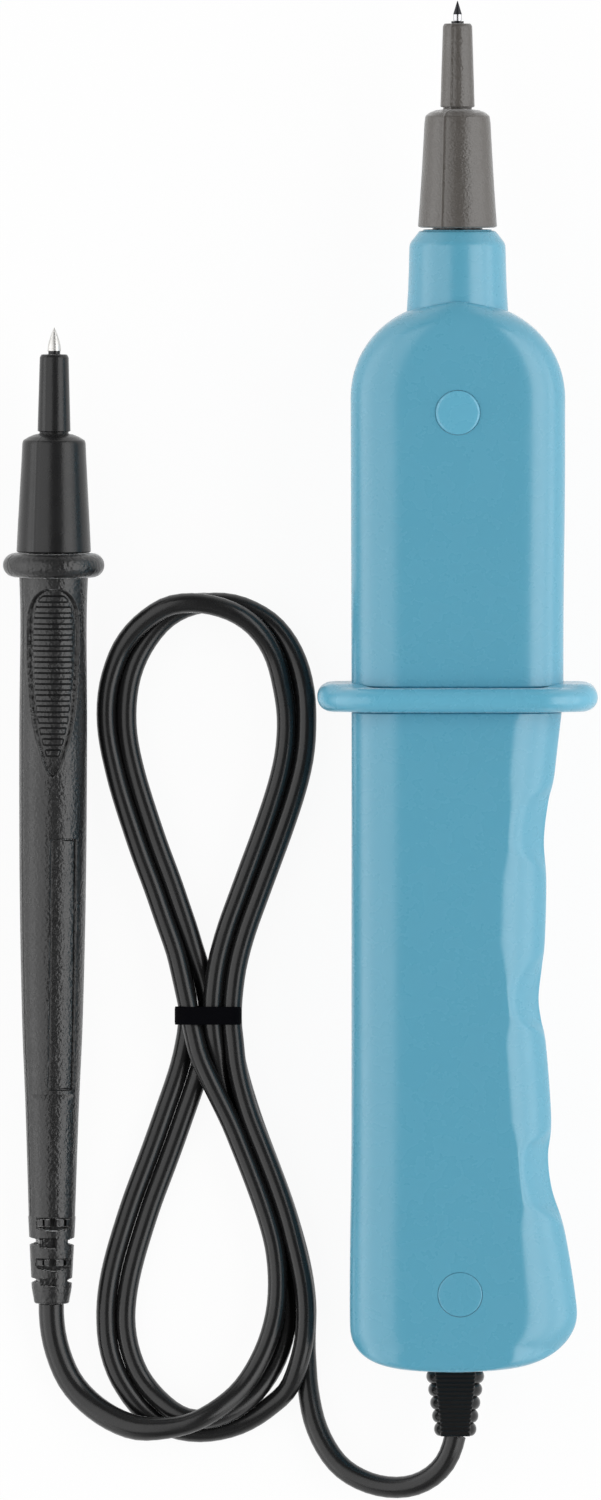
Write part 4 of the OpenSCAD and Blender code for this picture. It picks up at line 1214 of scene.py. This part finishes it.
        # Each quarter ellipse has nineteen points and the flat back a dozen
        a = np.radians(np.linspace(0, 90, 19))[None, :]
        across = np.linspace(0, 1, 14)[None, 1:-1]
        lift = np.concatenate([np.zeros_like(up), np.degrees(a) / 90, np.ones_like(across)], 1)
        fill = 0 * y[:, None] * lift
        if not inset:
            fill = self.groove_fill(-y[:, None], lift) * ends[:, None]
        foot, edge = up.shape[1], up.shape[1] + a.shape[1]
        right_side = right - shy + fill[:, :foot]
        right_edge = right - right_wide * (1 - np.cos(a) ** bend) + fill[:, foot:edge]
        right_x = np.concatenate([right_side, right_edge], 1)
        right_z = np.concatenate([side_z, depth - corner + corner * np.sin(a) ** bend], 1)
        left_z = np.concatenate([side_z, depth - corner + corner * np.sin(a)], 1)
        left_x = np.concatenate([-left + shy, -left + left_wide * (1 - np.cos(a))], 1)
        flat_x = right_x[:, -1:] + across * (left_x[:, -1:] - right_x[:, -1:])
        x = np.concatenate([right_x, flat_x, left_x[:, ::-1]], 1)
        z = np.concatenate([right_z, depth + 0 * flat_x, left_z[:, ::-1]], 1)
        return np.stack([x, y[:, None] + 0 * x, z], -1)

    def half(self, name: str, side: int) -> bpy.types.Object:
        """One housing half as a closed wall.

        Args:
            name: Name of the piece.
            side: 1 for the back half, -1 for the front half.

        Returns:
            The half, uncut.
        """
        over = np.sin(np.radians(np.linspace(88.5, 0, 48)))
        shoulder = self.upper_len - self.shoulder_len + self.shoulder_len * over
        flank = np.linspace(shoulder[-1], 0, 30)[1:]
        grip = np.linspace(0, -self.grip_len + self.tail_len, 230)[1:]
        beside = np.array([-0.28, -0.14, 0.0, 0.14, 0.28, 0.5])
        upper, lower = self.guard_lines
        flank = np.sort(np.concatenate([flank[np.abs(flank - upper) > 0.6], upper + beside]))[::-1]
        grip = np.sort(np.concatenate([grip[np.abs(grip - lower) > 0.6], lower - beside]))[::-1]
        tail = -self.grip_len + self.tail_len * (1 - np.sin(np.radians(np.linspace(0, 87, 30)[1:])))
        y = np.concatenate([shoulder, flank, grip, tail])
        outer = self.sheet(y, 0.0)
        reach = np.where(y > 0, self.upper_len, self.grip_len)
        inner = self.sheet(y * (reach - self.wall) / reach, self.wall)
        outer[..., 2] *= side
        inner[..., 2] *= side
        return shell_object(name, thick(outer, inner, capped=True), HANDLE, self.sharp)

    def build(self) -> None:
        """Makes both halves with their openings, and the neck."""
        back = self.half("housing_back_half", 1)
        face = self.body_d / 2
        well, heights = circle(self.plug_r, 24), [face - self.well_depth, face + 2]
        wells = [stacked([well, well], heights, place) for place in SCREW_PLACES]
        cut(back, wells[0] + wells[1], HANDLE, self.sharp)
        dress(back, BLUE, ROOT_BODY, "housing_back")
        front = self.half("housing_front_half", -1)
        w, length, y = self.window
        rebate = rounded_box(w + 2, length + 2, 2.0)
        slot = rounded_box(w, length, 1.5)
        heights = [-face - 1, -face + 1, -face + 1, -face + 3]
        tool = stacked([rebate, rebate, slot, slot], heights, (0, y))
        hole = circle(self.sound_hole_r, 8)
        for a in np.radians(np.arange(6) * 60):
            middle = (self.sound_ring_r * np.cos(a), self.sound_y + self.sound_ring_r * np.sin(a))
            tool = tool + stacked([hole, hole], [-face - 1, -face + 3], middle)
        cut(front, tool, HANDLE, self.sharp)
        dress(front, BLUE, ROOT_BODY, "housing_front")
        self.neck()

    def neck(self) -> None:
        """Turned neck with a soft front chamfer and a fine parting line on both sides."""
        nose, foot = self.upper_len + self.neck_len, 74.0
        outer = np.array(
            [
                [10.15, foot], [10.12, 77.3], [9.86, 81.3], [9.73, 85.0], [9.66, 88.2],
                [9.58, 90.2], [9.3, 90.85], [7.6, nose - 0.1], [6.85, nose + 0.02],
                [6.8, nose + 0.2],
            ]
        )
        loop = np.vstack([[self.holder_r, foot], soften(outer, 0.3), [self.holder_r, nose]])
        parted = parting_lines([90, 270], self.holder_r + 0.5, 0.12)
        shell = turned(refine(loop, 1.2), True, angles_near([90, 270], 120), parted)
        dress(shell_object("housing_neck", shell, HANDLE, 26.0), BLUE, ROOT_BODY)


@dataclass
class HandGuard:
    """Ring with a half-round edge round the housing."""

    width: float = 56.0
    depth: float = 35.0
    thickness: float = 5.6
    corner: float = 12.0
    hole: Triple = (42.06, 26.06, 8.03)
    thinner: float = 0.157
    lean: float = 0.36

    def build(self) -> None:
        """Carries the bead once round: from the hole's front edge over the half round to its back.

        At an angle along the bead the outline is the guard's, drawn in by half the thickness times
        1 - cos(angle), at half the thickness times sin(angle) along Y. Over the two faces the bead
        is a little thinner and leans towards the grip.
        """
        bead = self.thickness / 2
        rings = [(rounded_box(*self.hole, 14), -bead)]
        for a in np.radians(np.linspace(-90, 90, 25)):
            inset = bead * (1 - np.cos(a))
            width, depth = self.width - 2 * inset, self.depth - 2 * inset
            rings.append((rounded_box(width, depth, self.corner - inset, 14), bead * np.sin(a)))
        rings.append((rounded_box(*self.hole, 14), bead))
        grid = np.stack([np.stack([o[:, 0], np.full(len(o), y), o[:, 1]], 1) for o, y in rings])
        over = rise(np.abs(grid[..., 2]), 9.0, 13.0)
        lean = self.lean * over * np.sign(grid[..., 2])
        grid[..., 1] = grid[..., 1] * (1 - self.thinner * over) - lean
        made = shell_object("guard_ring", tube(grid, loop=True), HANDLE, 40.0)
        # The bead wears the lightened blue: painted light.
        dress(made, PAINTED_LIGHT_BLUE, ROOT_BODY, "hand_guard")


@dataclass
class ScrewPlug:
    """Round plug in a screw well, slightly domed, with a soft rim."""

    name: str
    node: str
    place: tuple[float, float]
    proud: float
    rim: float = 0.42
    radius: float = 4.44
    height: float = 2.6
    face: float = 13.0
    dome: tuple = (0.02, 0.04, 0.055, 0.06)
    finish: MouldedPlastic = BLUE

    def build(self) -> None:
        """Stacks circles: the side, a rounded rim and a face that rises a little to its middle."""
        top, soft = self.face + self.proud, self.rim
        a = np.radians(np.linspace(0, 90, 6))
        rim = self.radius - soft + soft * np.cos(a)
        rim_z = top - soft + soft * np.sin(a) - self.dome[-1]
        radii = np.concatenate([[self.radius], rim, [3.6, 2.6, 1.6, 0.7]])
        face_z = top - self.dome[-1] + np.array(self.dome)
        heights = np.concatenate([[top - self.height], rim_z, face_z])
        outlines = [circle(r, 18) for r in radii]
        made = shell_object(self.name, stacked(outlines, list(heights), self.place), HANDLE, 40.0)
        dress(made, self.finish, ROOT_BODY, self.node)


@dataclass
class TipCover:
    """Pull-off cover: a flaring skirt, a domed shoulder and a narrow sleeve."""

    name: str
    node: str
    place: Placement
    finish: MouldedPlastic
    outline: tuple
    bore_r: float
    bore_len: float
    mouth_r: float
    mould_angle: float
    mould_step: float

    def build(self) -> None:
        """Turns the outline round its bore, with a thin raised mould line along both sides."""
        outer = soften(np.array(self.outline, float), 0.22)
        base, end = outer[0, 1], outer[-1, 1]
        deep = base + self.bore_len
        mouth, bore = self.mouth_r, self.bore_r
        inner = np.array([[mouth, end], [mouth, deep], [bore, deep - 0.6], [bore, base]])
        loop = np.vstack([refine(outer, 0.8), inner])

        def lined(r: Array, angle: Array, y: Array) -> Array:
            """Raises both mould lines on the outside, the first with a groove at its foot.

            Args:
                r: Radius at each point.
                angle: Angle from the top, in degrees.
                y: Y at each point; not used.

            Returns:
                The new radius.
            """
            off = aside(angle, self.mould_angle, r)
            rear = aside(angle, self.mould_angle + 180, r)
            line = bell(off, 0.2) - 0.15 * bell(off - 0.5, 0.2) + bell(rear, 0.17)
            inside = np.arange(len(loop))[:, None] >= len(loop) - len(inner)
            return r + np.where(inside, 0, self.mould_step * line)

        angles = angles_near([self.mould_angle, self.mould_angle + 180], 120, 7.0)
        shell = turned(loop, True, angles, lined)
        dress(shell_object(self.name, shell, self.place, 30.0), self.finish, self.node, self.node)


@dataclass
class TestTip:
    """Turned metal tip, from its tail in the holder to its point."""

    name: str
    node: str
    place: Placement
    finish: Metal
    outline: tuple
    soft: float = 0.05

    def build(self) -> None:
        """Turns the outline."""
        outline = refine(soften(np.array(self.outline, float), self.soft, 3), 1.5)
        shell = turned(outline, False, np.arange(48) * 7.5)
        nodes = [self.node] if self.node else []
        dress(shell_object(self.name, shell, self.place, 30.0), self.finish, ROOT_BODY, *nodes)


@dataclass
class CableGland:
    """Ribbed strain relief of the main unit: five beads with a flat web down front and back."""

    start: float = -134.7
    length: float = 13.2
    big: float = 5.8
    small: float = 4.25
    beads: int = 5
    bore: float = 2.05
    web: float = 4.1
    web_height: float = 0.25
    line_height: float = 0.12
    line_pitch: float = 0.88
    shift_x: float = -0.4

    def build(self) -> None:
        """Turns the beads; near the middle of front and back the valleys are filled.

        The radius of bead k falls evenly from big to small. Between beads it dips as a circle of
        half the pitch does. Within the web's half width, which narrows with the beads, the surface
        is flat with fine lines across.
        """
        pitch = self.length / self.beads
        d = np.linspace(0, self.length, 133)
        k = np.clip((d / pitch).astype(int), 0, self.beads - 1)
        mid = (k + 0.5) * pitch
        crest = self.big - (self.big - self.small) * k / (self.beads - 1)
        off = np.clip((d - mid) / (0.56 * pitch), -0.999, 0.999)
        radius = crest - pitch / 2 + pitch / 2 * np.sqrt(1 - off**2)
        smooth_crest = self.big - (self.big - self.small) * np.clip(d / pitch - 0.5, 0, 4) / 4
        outer = np.stack([radius, self.start - d], 1)
        loop = np.vstack([[self.bore, self.start], outer, [self.bore, self.start - self.length]])
        fill = np.concatenate([[0], smooth_crest, [0]])[:, None]

        def webbed(r: Array, angle: Array, y: Array) -> Array:
            """Cuts the beads flat and fills the valleys near the front and the back.

            Args:
                r: Radius at each point.
                angle: Angle from the top, in degrees.
                y: Y at each point.

            Returns:
                The new radius.
            """
            a = np.radians(angle)
            half = self.web * fill / self.big
            near = 1 - rise(np.abs(fill * np.sin(a)), half - 0.15, half + 0.15)
            lines = self.line_height * np.cos(2 * np.pi * (self.start - y) / self.line_pitch)
            level = np.sqrt(np.maximum(fill**2 - half**2, 0)) + self.web_height + lines
            flat = np.minimum(level / (np.abs(np.cos(a)) + 1e-6), fill + 0.05)
            return np.where(fill > 0, r + near * (flat - r), r)

        shell = turned(loop, True, np.arange(144) * 2.5, webbed)
        shell.points[:, 0] += self.shift_x
        made = shell_object("cable_gland", shell, HANDLE, 38.0)
        dress(made, GLAND_RUBBER, ROOT_BODY, "strain_relief")


# ---------------------------------------------------------------- second probe


@dataclass
class SecondProbe:
    """Round probe handle in two shells, with its flange, thumb pad and panel recess."""

    profile: tuple = (
        (2.4, 6.88), (12, 6.64), (33.6, 6.8), (64, 6.65), (90.6, 6.1), (108.8, 5.35), (130.5, 4.65),
    )
    wall: float = 1.5
    split: float = 25.0
    pad_top: float = 4.6
    pad_len: float = 37.8
    pad_marks: tuple = (
        (0, 0), (0.15, 1.4), (0.6, 2.6), (1.8, 3.9), (3.2, 4.6), (5.2, 5.1), (9.6, 5.3),
        (16.1, 5.14), (22.6, 4.64), (26.9, 4.06), (31.2, 3.0), (35.6, 1.5), (37.8, 0),
    )
    pad_depth: float = 0.8
    rib_pitch: float = 2.2
    rib_top: float = 0.22
    rib_half: float = 0.78
    rib_inset: float = 0.75
    panel_turn: float = 21.0
    panel_top: float = 54.6
    panel_len: float = 50.4
    panel_w: float = 5.85
    panel_corner: float = 0.7
    panel_depth: float = 0.35
    flange_bead: float = 2.4
    flange_r: float = 10.15
    flange_bore: float = 4.95

    def radius(self, down: Array) -> Array:
        """Radius of the bare handle at a distance below the flange's middle."""
        line = smooth_path(np.array(self.profile, float), 8)
        return np.interp(down, line[:, 0], line[:, 1])

    def pad_width(self, down: Array) -> Array:
        """Half width of the thumb pad: round above, widest at a third, drawn to a point below.

        Args:
            down: Distances below the flange's middle.

        Returns:
            The half widths, and -1 past the pad's two ends.
        """
        line = smooth_path(np.array(self.pad_marks, float), 8)
        s = down - self.pad_top
        return np.where((s > 0) & (s < self.pad_len), np.interp(s, line[:, 0], line[:, 1]), -1.0)

    def relief(self, r: Array, angle: Array, down: Array) -> Array:
        """Changes of the radius by the thumb pad with its ribs, and by the panel recess.

        The pad is a trough that deepens over a fifth of a millimetre inside its outline, with a
        faint lip outside it. Bars stand across it, and rise in a smooth step from their long sides
        and their ends. The panel is sunk inside a rounded box laid round the handle, with a fine
        groove just inside its edge.

        Args:
            r: Radius of the bare handle.
            angle: Angles from the top, in degrees.
            down: Distances below the flange's middle.

        Returns:
            The change, of the same shape as the radius.
        """
        a = np.radians((angle + 180) % 360 - 180)
        x = r * np.sin(a)
        facing = np.cos(a) > 0
        width = self.pad_width(down)
        slope = np.gradient(width[:, 0], down[:, 0])[:, None]
        inside = np.where(facing, (width - np.abs(x)) / np.sqrt(1 + np.clip(slope, -3, 3) ** 2), -1)
        trough = rise(inside, 0.0, 0.22)
        phase = (down - self.pad_top - 2.0) / self.rib_pitch
        across = np.abs(phase - np.round(phase)) * self.rib_pitch
        ends = inside - self.rib_inset
        ribbed = (down > self.pad_top + 0.9) & (down < self.pad_top + self.pad_len - 4.3)
        bar = rise(self.rib_half - across, 0.0, 0.34) * rise(ends, 0.0, 0.45) * ribbed
        lip = 0.05 * bell(inside + 0.16, 0.14)
        change = -self.pad_depth * trough + (self.pad_depth - self.rib_top) * bar + lip * facing
        along = np.abs(down - self.panel_top - self.panel_len / 2) - self.panel_len / 2
        sideways = r * (a - np.radians(self.panel_turn))
        beside = np.abs(sideways) - self.panel_w / 2
        soft = self.panel_corner
        box = np.minimum(np.maximum(along + soft, beside + soft), 0) - soft
        box = box + np.hypot(np.maximum(along + soft, 0), np.maximum(beside + soft, 0))
        sunk = rise(-box, -0.06, 0.1)
        groove = bell(box + 0.18, 0.15) * (0.2 + 0.14 * np.tanh(sideways))
        return change - facing * (self.panel_depth * sunk + groove)

    def shell(self, name: str, node: str, start: float, rows: Array, columns: int) -> None:
        """One shell over half a turn, as a wall with a fine chamfer at its two parting edges.

        Args:
            name: Name of the piece.
            node: CAD node that it replaces.
            start: Angle of its first edge, in degrees from the top.
            rows: Distances below the flange's middle.
            columns: Steps round the half turn.
        """
        edge = np.array([0, 0.6, 1.4, 2.4])
        angle = start + np.concatenate([edge, np.linspace(3.4, 176.6, columns), 180 - edge[::-1]])
        r = np.repeat(self.radius(rows)[:, None], len(angle), 1)
        angle = np.broadcast_to(angle, r.shape)
        down = np.repeat(rows[:, None], r.shape[1], 1)
        outer = r + self.relief(r, angle, down)
        seam = np.minimum(np.abs(angle - start), np.abs(angle - start - 180))
        outer = outer - 0.32 * np.clip(1 - seam / 2.4, 0, 1)
        a = np.radians(angle)
        out = np.stack([outer * np.sin(a), -down, outer * np.cos(a)], -1)
        inner = r - self.wall
        into = np.stack([inner * np.sin(a), -down, inner * np.cos(a)], -1)
        made = shell_object(name, thick(out, into, capped=False), PROBE, 50.0)
        dress(made, PROBE_BLACK, ROOT_BODY, node)

    def build(self) -> None:
        """Makes both shells, with rows closest over the pad and at the panel's ends."""
        pad = np.arange(self.pad_top - 0.6, self.pad_top + self.pad_len + 0.6, 0.2)
        ends = self.panel_top + np.array([0, self.panel_len])
        near = np.concatenate([e + np.linspace(-0.9, 0.9, 17) for e in ends])
        even = np.arange(pad[-1] + 0.6, 130.3, 1.25)
        rows = np.unique(np.concatenate([[1.0, 1.9, 2.6, 3.3], pad, even, near, [130.35, 130.5]]))
        self.shell("probe_upper_half", "probe_upper_shell", self.split - 90, rows, 148)
        rows = np.concatenate([np.arange(1.0, 130.4, 1.4), [130.35, 130.5]])
        self.shell("probe_lower_half", "probe_lower_shell", self.split + 90, rows, 70)
        self.flange()

    def flange(self) -> None:
        """Turns the flange: a half-round bead on a short collar, with two parting lines."""
        bead, rim, bore = self.flange_bead, self.flange_r, self.flange_bore
        a = np.radians(np.linspace(-90, 90, 21))
        curve = np.stack([rim - bead + bead * np.cos(a), bead * np.sin(a)], 1)
        below, above = [[bore, -bead], [7.2, -bead]], [[7.6, bead], [7.3, 2.2], [bore, 2.2]]
        partings = [(self.split - 90) % 360, self.split + 90]
        shell = turned(
            np.vstack([below, curve, above]), True, angles_near(partings, 120),
            parting_lines(partings, 6, 0.14),
        )
        dress(shell_object("probe_flange", shell, PROBE, 40.0), PROBE_BLACK, ROOT_BODY)


@dataclass
class ProbeRelief:
    """Slotted strain relief of the probe: rings joined in turn by side walls and by a core."""

    start: float = 130.5
    length: float = 17.5
    bore: float = 2.05
    front_r: float = 4.75
    end_r: float = 3.85
    floor: float = 2.5
    web: float = 3.6
    core: float = 2.8
    face_slots: tuple = ((0.1, 2.2), (8.3, 10.2))
    side_slots: tuple = ((4.2, 5.75), (12.3, 13.35))
    blocks: tuple = ((-3.2, 0.8), (-1.6, 0.55), (1.2, 0.85), (3.2, 0.6))
    block_drop: float = 0.2
    turn: float = 8.0
    flare: float = 1.2
    sag: float = 0.6
    hollow: Triple = (-2.9, 0.35, 3.0)
    last_taper: float = 0.35

    def build(self) -> None:
        """Turns the tapered rings and limits the radius in the slots.

        In a face slot the surface is held at the floor's height above and below, but for the
        side walls and four small blocks. In a side slot it is held at the core's half width, left
        and right, and its upper side is hollow from the left to a little past the middle. Each
        slot's rear edge sags in the middle. Rows stand in close pairs at each slot's edges.
        """
        marks = np.array([e for pair in self.face_slots + self.side_slots for e in pair])
        pairs = np.concatenate([marks - 0.03, marks + 0.03, marks - 0.12, marks + 0.12])
        d = np.concatenate([pairs, np.linspace(0.25, self.length - 0.5, 130)])
        rim = self.length - 0.4 + 0.4 * np.sin(np.radians(np.linspace(0, 90, 6)))
        d = np.unique(np.round(np.clip(np.concatenate([[0.0], d, rim]), 0, self.length), 3))
        r = self.front_r + (self.end_r - self.front_r) * d / self.length
        r = r - self.last_taper * rise(d, self.length - 3.6, self.length)
        drop = np.clip(d - self.length + 0.4, 0, 0.4)
        r = r - (0.4 - np.sqrt(np.maximum(0.16 - drop**2, 0)))
        outer = np.stack([r, -self.start - d], 1)
        loop = np.vstack([[self.bore, -self.start], outer, [self.bore, -self.start - self.length]])

        def slotted(radius: Array, angle: Array, y: Array) -> Array:
            """Limits the radius in the slots.

            Args:
                radius: Radius at each point.
                angle: Angle from the top, in degrees.
                y: Y at each point.

            Returns:
                The new radius.
            """
            a = np.radians(angle - self.turn)
            depth = -y - self.start
            x, tall = np.abs(np.sin(a)) + 1e-6, np.abs(np.cos(a)) + 1e-6
            held = radius
            across = radius * np.sin(a)
            front = np.cos(a) > 0
            sag = self.sag * np.maximum(1 - (across / self.web) ** 2, 0) * front
            for low, high in self.face_slots:
                here = (depth > low) & (depth < high + sag) & (np.abs(across) < self.web)
                limit = self.floor / tall
                for middle, half in self.blocks:
                    block = (np.abs(across - middle) < half) & front
                    block &= (depth > low + 0.35) & (depth < high - 0.35)
                    limit = np.where(block, radius - self.block_drop, limit)
                held = np.where(here, np.minimum(held, limit), held)
            for low, high in self.side_slots:
                open_by = self.flare * np.clip(1 - np.abs(across) / radius, 0, 1)
                here = (depth > low + open_by) & (depth < high - open_by)
                held = np.where(here, np.minimum(held, self.core / x), held)
                left, right, height = self.hollow
                here = front & (across > left) & (across < right)
                here &= (depth > low) & (depth < high + sag)
                held = np.where(here, np.minimum(held, height / tall), held)
            return np.where(radius > self.bore + 0.1, np.maximum(held, self.bore + 0.15), radius)

        shell = turned(loop, True, np.arange(240) * 1.5, slotted)
        made = shell_object("probe_gland", shell, PROBE, 35.0)
        dress(made, PROBE_BLACK, ROOT_BODY, "probe_strain_relief")


# ---------------------------------------------------------------- carried-over pieces


@dataclass
class InnerWorks:
    """Finishes of the CAD pieces that stay as they are."""

    nodes: dict[str, bpy.types.Object]

    def finishes(self) -> dict[str, Finish]:
        """Lists what each carried-over node is dressed in.

        Returns:
            The finish of each node, by its name.
        """
        brass = Metal(Slot.BRASS, (0.72, 0.5, 0.2), 0.3, (1500.0, 300.0, 1500.0))
        spring = Metal(Slot.STEEL, (0.6, 0.6, 0.62), 0.25, (900.0, 900.0, 900.0))
        cream = MouldedPlastic(Slot.RESISTOR, (0.46, 0.33, 0.19), 0.45, 1800.0, 0.00003, 0.3, 0.08)
        lamp = MouldedPlastic(Slot.LAMP, (0.8, 0.8, 0.74), 0.18, 900.0, 0.00001, 0.1, 0.02, 0.6)
        jacket = MouldedPlastic(Slot.CELL, (0.2, 0.21, 0.23), 0.28, 1500.0, 0.00001, 0.1, 0.1, 0.6)
        chip = MouldedPlastic(Slot.BLACK, (0.014, 0.014, 0.015), 0.55, 5000.0, 0.00003, 0.6, 0.05)
        return {
            "housing_screws": spring, "tip_insulation": SMOOTH_BLACK, "tip_holder": SMOOTH_BLACK,
            "tip_contact": brass, "circuit_board": BoardLacquer(), "controller_chip": chip,
            "series_resistors": cream, "display_lamps": lamp, "lamp_window": ClearPane(),
            "buzzer": chip, "battery_tray": SMOOTH_BLACK, "cell_left": jacket, "cell_right": jacket,
            "cell_springs": spring, "cell_contacts": spring, "bridge_contact": spring,
            "inner_lead": RUBBER, "probe_tip_insulation": SMOOTH_BLACK,
            "probe_tip_holder": SMOOTH_BLACK, "probe_resistor": cream, "probe_inner_lead": RUBBER,
        }

    def build(self) -> None:
        """Puts the finishes into the nodes' material slots."""
        for name, finish in self.finishes().items():
            node = self.nodes[name]
            material = finish.material(f"{name}_finish")
            if not node.material_slots:
                node.data.materials.append(material)
            for place in node.material_slots:
                place.material = material
            LOG.info("%s: dressed", name)


# ---------------------------------------------------------------- studio


@dataclass
class Studio:
    """Pale table, soft lights and the camera that looks straight down."""

    lens: float = 600.0
    frame_height: float = 0.3
    middle: Triple = (0.0001, -0.00625, 0.0135)
    floor_size: float = 8.0
    table_glow: float = 0.94
    sensor: float = 36.0
    overhead: float = 0.12
    sides: float = 2.5
    ends: float = 0.25
    fade: tuple[float, float] = (0.3, 0.5)
    lamps: tuple = (
        ("left_light", (-0.84, 0.0, 1.0), (2.0, 1.24), 10.3),
        ("right_light", (0.955, 0.0, 0.906), (2.0, 0.78), 12.0),
        ("front_light", (0.0, -1.0, 0.9), (1.0, 0.5), 0.3),
    )

    def floor(self) -> None:
        """Lays the table, white to the camera and in reflections but for a share of real shade."""
        s = self.floor_size / 2
        mesh = bpy.data.meshes.new("table_top")
        mesh.from_pydata([(-s, -s, 0), (s, -s, 0), (s, s, 0), (-s, s, 0)], [], [(0, 1, 2, 3)])
        made = add_object("table_top", mesh)
        graph = Graph("table_paint")
        graph.set(Base_Color=(0.95, 0.95, 0.95), Roughness=0.9, Specular_IOR_Level=0.1)
        tree = graph.tree
        path = tree.nodes.new("ShaderNodeLightPath").outputs
        seen = add_math(tree, "MAXIMUM", path["Is Camera Ray"], path["Is Glossy Ray"])
        seen = add_math(tree, "MAXIMUM", seen, path["Is Transmission Ray"])
        glow = add_node(tree, "Emission", Color=(1, 1, 1, 1)).outputs["Emission"]
        mix = add_node(tree, "MixShader", Fac=add_math(tree, "MULTIPLY", seen, self.table_glow))
        tree.links.new(graph.shader.outputs["BSDF"], mix.inputs[1])
        tree.links.new(glow, mix.inputs[2])
        tree.links.new(mix.outputs["Shader"], tree.nodes["Material Output"].inputs["Surface"])
        mesh.materials.append(graph.material)

    def surroundings(self) -> None:
        """Surroundings that brighten from overhead to the horizon, and are white to the camera.

        The horizon is bright to both sides and dimmer to both ends: its strength goes from the
        ends' to the sides' with the square of the direction's share across. The strength falls
        evenly from the horizon's to the overhead one as the direction's height rises between the
        fade's two values.
        """
        world = bpy.data.worlds.new("surroundings")
        world.use_nodes = True
        tree = world.node_tree
        tree.nodes.clear()
        path = tree.nodes.new("ShaderNodeLightPath").outputs
        coords = tree.nodes.new("ShaderNodeTexCoord").outputs["Generated"]
        split = add_node(tree, "SeparateXYZ", Vector=coords).outputs
        across = add_math(tree, "POWER", split["X"], 2.0)
        around = add_node(tree, "MapRange", Value=across, To_Min=self.ends, To_Max=self.sides)
        low, high = self.fade
        fade = add_node(
            tree, "MapRange", Value=split["Z"], From_Min=low, From_Max=high,
            To_Min=around.outputs["Result"], To_Max=self.overhead,
        ).outputs["Result"]
        level = add_node(tree, "MapRange", Value=path["Is Camera Ray"], To_Min=fade, To_Max=1.0)
        white = (1, 1, 1, 1)
        back = add_node(tree, "Background", Color=white, Strength=level.outputs["Result"])
        add_node(tree, "OutputWorld", Surface=back.outputs["Background"])
        bpy.context.scene.world = world

    def lamp(self, name: str, place: Triple, size: tuple[float, float], power: float) -> None:
        """Hangs one flat soft light that points at the object.

        Args:
            name: Name of the light.
            place: Its place, in metres.
            size: Its width and length, in metres.
            power: Its power, in watts.
        """
        light = bpy.data.lights.new(name, "AREA")
        light.shape, light.size, light.size_y, light.energy = "RECTANGLE", size[0], size[1], power
        made = add_object(name, light)
        made.location = place
        made.rotation_mode = "QUATERNION"
        made.rotation_quaternion = (-Vector(place)).to_track_quat("-Z", "Y")

    def camera(self) -> None:
        """Hangs a long lens straight above the middle, at which the frame height just fits."""
        data = bpy.data.cameras.new("camera")
        data.lens, data.sensor_width = self.lens, self.sensor
        distance = self.frame_height * self.lens / self.sensor
        made = add_object("camera", data)
        made.location = Vector(self.middle) + Vector((0, 0, distance))
        data.clip_start, data.clip_end = 0.1, distance * 3
        bpy.context.scene.camera = made

    def build(self) -> None:
        """Sets up the whole studio."""
        self.floor()
        self.surroundings()
        for lamp in self.lamps:
            self.lamp(*lamp)
        self.camera()
        bpy.context.scene.view_settings.view_transform = "Standard"


def main() -> None:
    """Builds the studio, the lead, both units and their inner pieces."""
    logging.basicConfig(level=logging.INFO, format="%(name)s: %(message)s")
    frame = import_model()
    Studio().build()
    Lead().build(CableTie().build())
    MainHousing().build()
    HandGuard().build()
    upper, lower = SCREW_PLACES
    # The upper plug wears the lightened blue: painted light on its rim and face.
    ScrewPlug(
        "upper_plug", "upper_screw_plug", upper, proud=0.5, rim=0.55, finish=PAINTED_LIGHT_BLUE
    ).build()
    ScrewPlug(
        "lower_plug", "lower_screw_plug", lower, proud=0.12, rim=0.32, radius=4.47
    ).build()
    TipCover(
        "main_cover", "tip_cover", HANDLE, GREY_COVER,
        ((7.45, 93.7), (7.9, 93.9), (7.62, 97.6), (7.3, 102.3), (6.93, 108.5), (6.6, 114.6),
         (6.4, 116.0), (5.5, 116.7), (4.3, 117.15), (2.85, 117.3), (2.85, 117.68), (3.42, 117.78),
         (3.15, 127.0), (2.93, 133.9), (2.6, 134.45), (2.0, 134.45)),
        bore_r=5.15, bore_len=19.0, mouth_r=1.4, mould_angle=-24.0, mould_step=0.17,
    ).build()
    TestTip(
        "main_tip_rod", "test_tip", HANDLE, STEEL,
        ((0.65, 64.75), (0.65, 71.25), (2.0, 71.25), (2.0, 73.15), (0.65, 73.15), (0.65, 134.95),
         (0.85, 134.95), (0.85, 136.25)),
    ).build()
    # The point is a separate piece so that its steel can carry painted shade.
    point = ((0.85, 136.25), (0.85, 136.35), (0.06, 138.95))
    TestTip("main_tip_point", "", HANDLE, PAINTED_SHADE_STEEL, point).build()
    CableGland().build()
    SecondProbe().build()
    TipCover(
        "second_cover", "probe_tip_cover", PROBE, SMOOTH_BLACK,
        ((7.2, 2.6), (7.45, 2.75), (7.2, 8.0), (6.82, 15.0), (6.5, 21.0), (6.35, 24.4),
         (6.15, 25.0), (5.0, 25.7), (3.9, 26.15), (2.9, 26.35), (2.9, 26.75), (3.3, 26.8),
         (3.05, 36.0), (2.9, 41.6), (2.55, 42.2), (2.0, 42.2)),
        bore_r=4.75, bore_len=19.0, mouth_r=1.5, mould_angle=-32.0, mould_step=0.05,
    ).build()
    TestTip(
        "second_tip_rod", "probe_test_tip", PROBE, NICKEL,
        ((0.8, -10.0), (0.8, 42.4), (1.2, 42.8), (1.35, 42.9), (1.34, 43.3), (1.22, 44.2),
         (0.98, 45.1), (0.62, 46.2), (0.3, 47.0), (0.05, 47.55)),
    ).build()
    ProbeRelief().build()
    InnerWorks(frame["nodes"]).build()


if __name__ == "__main__":
    main()
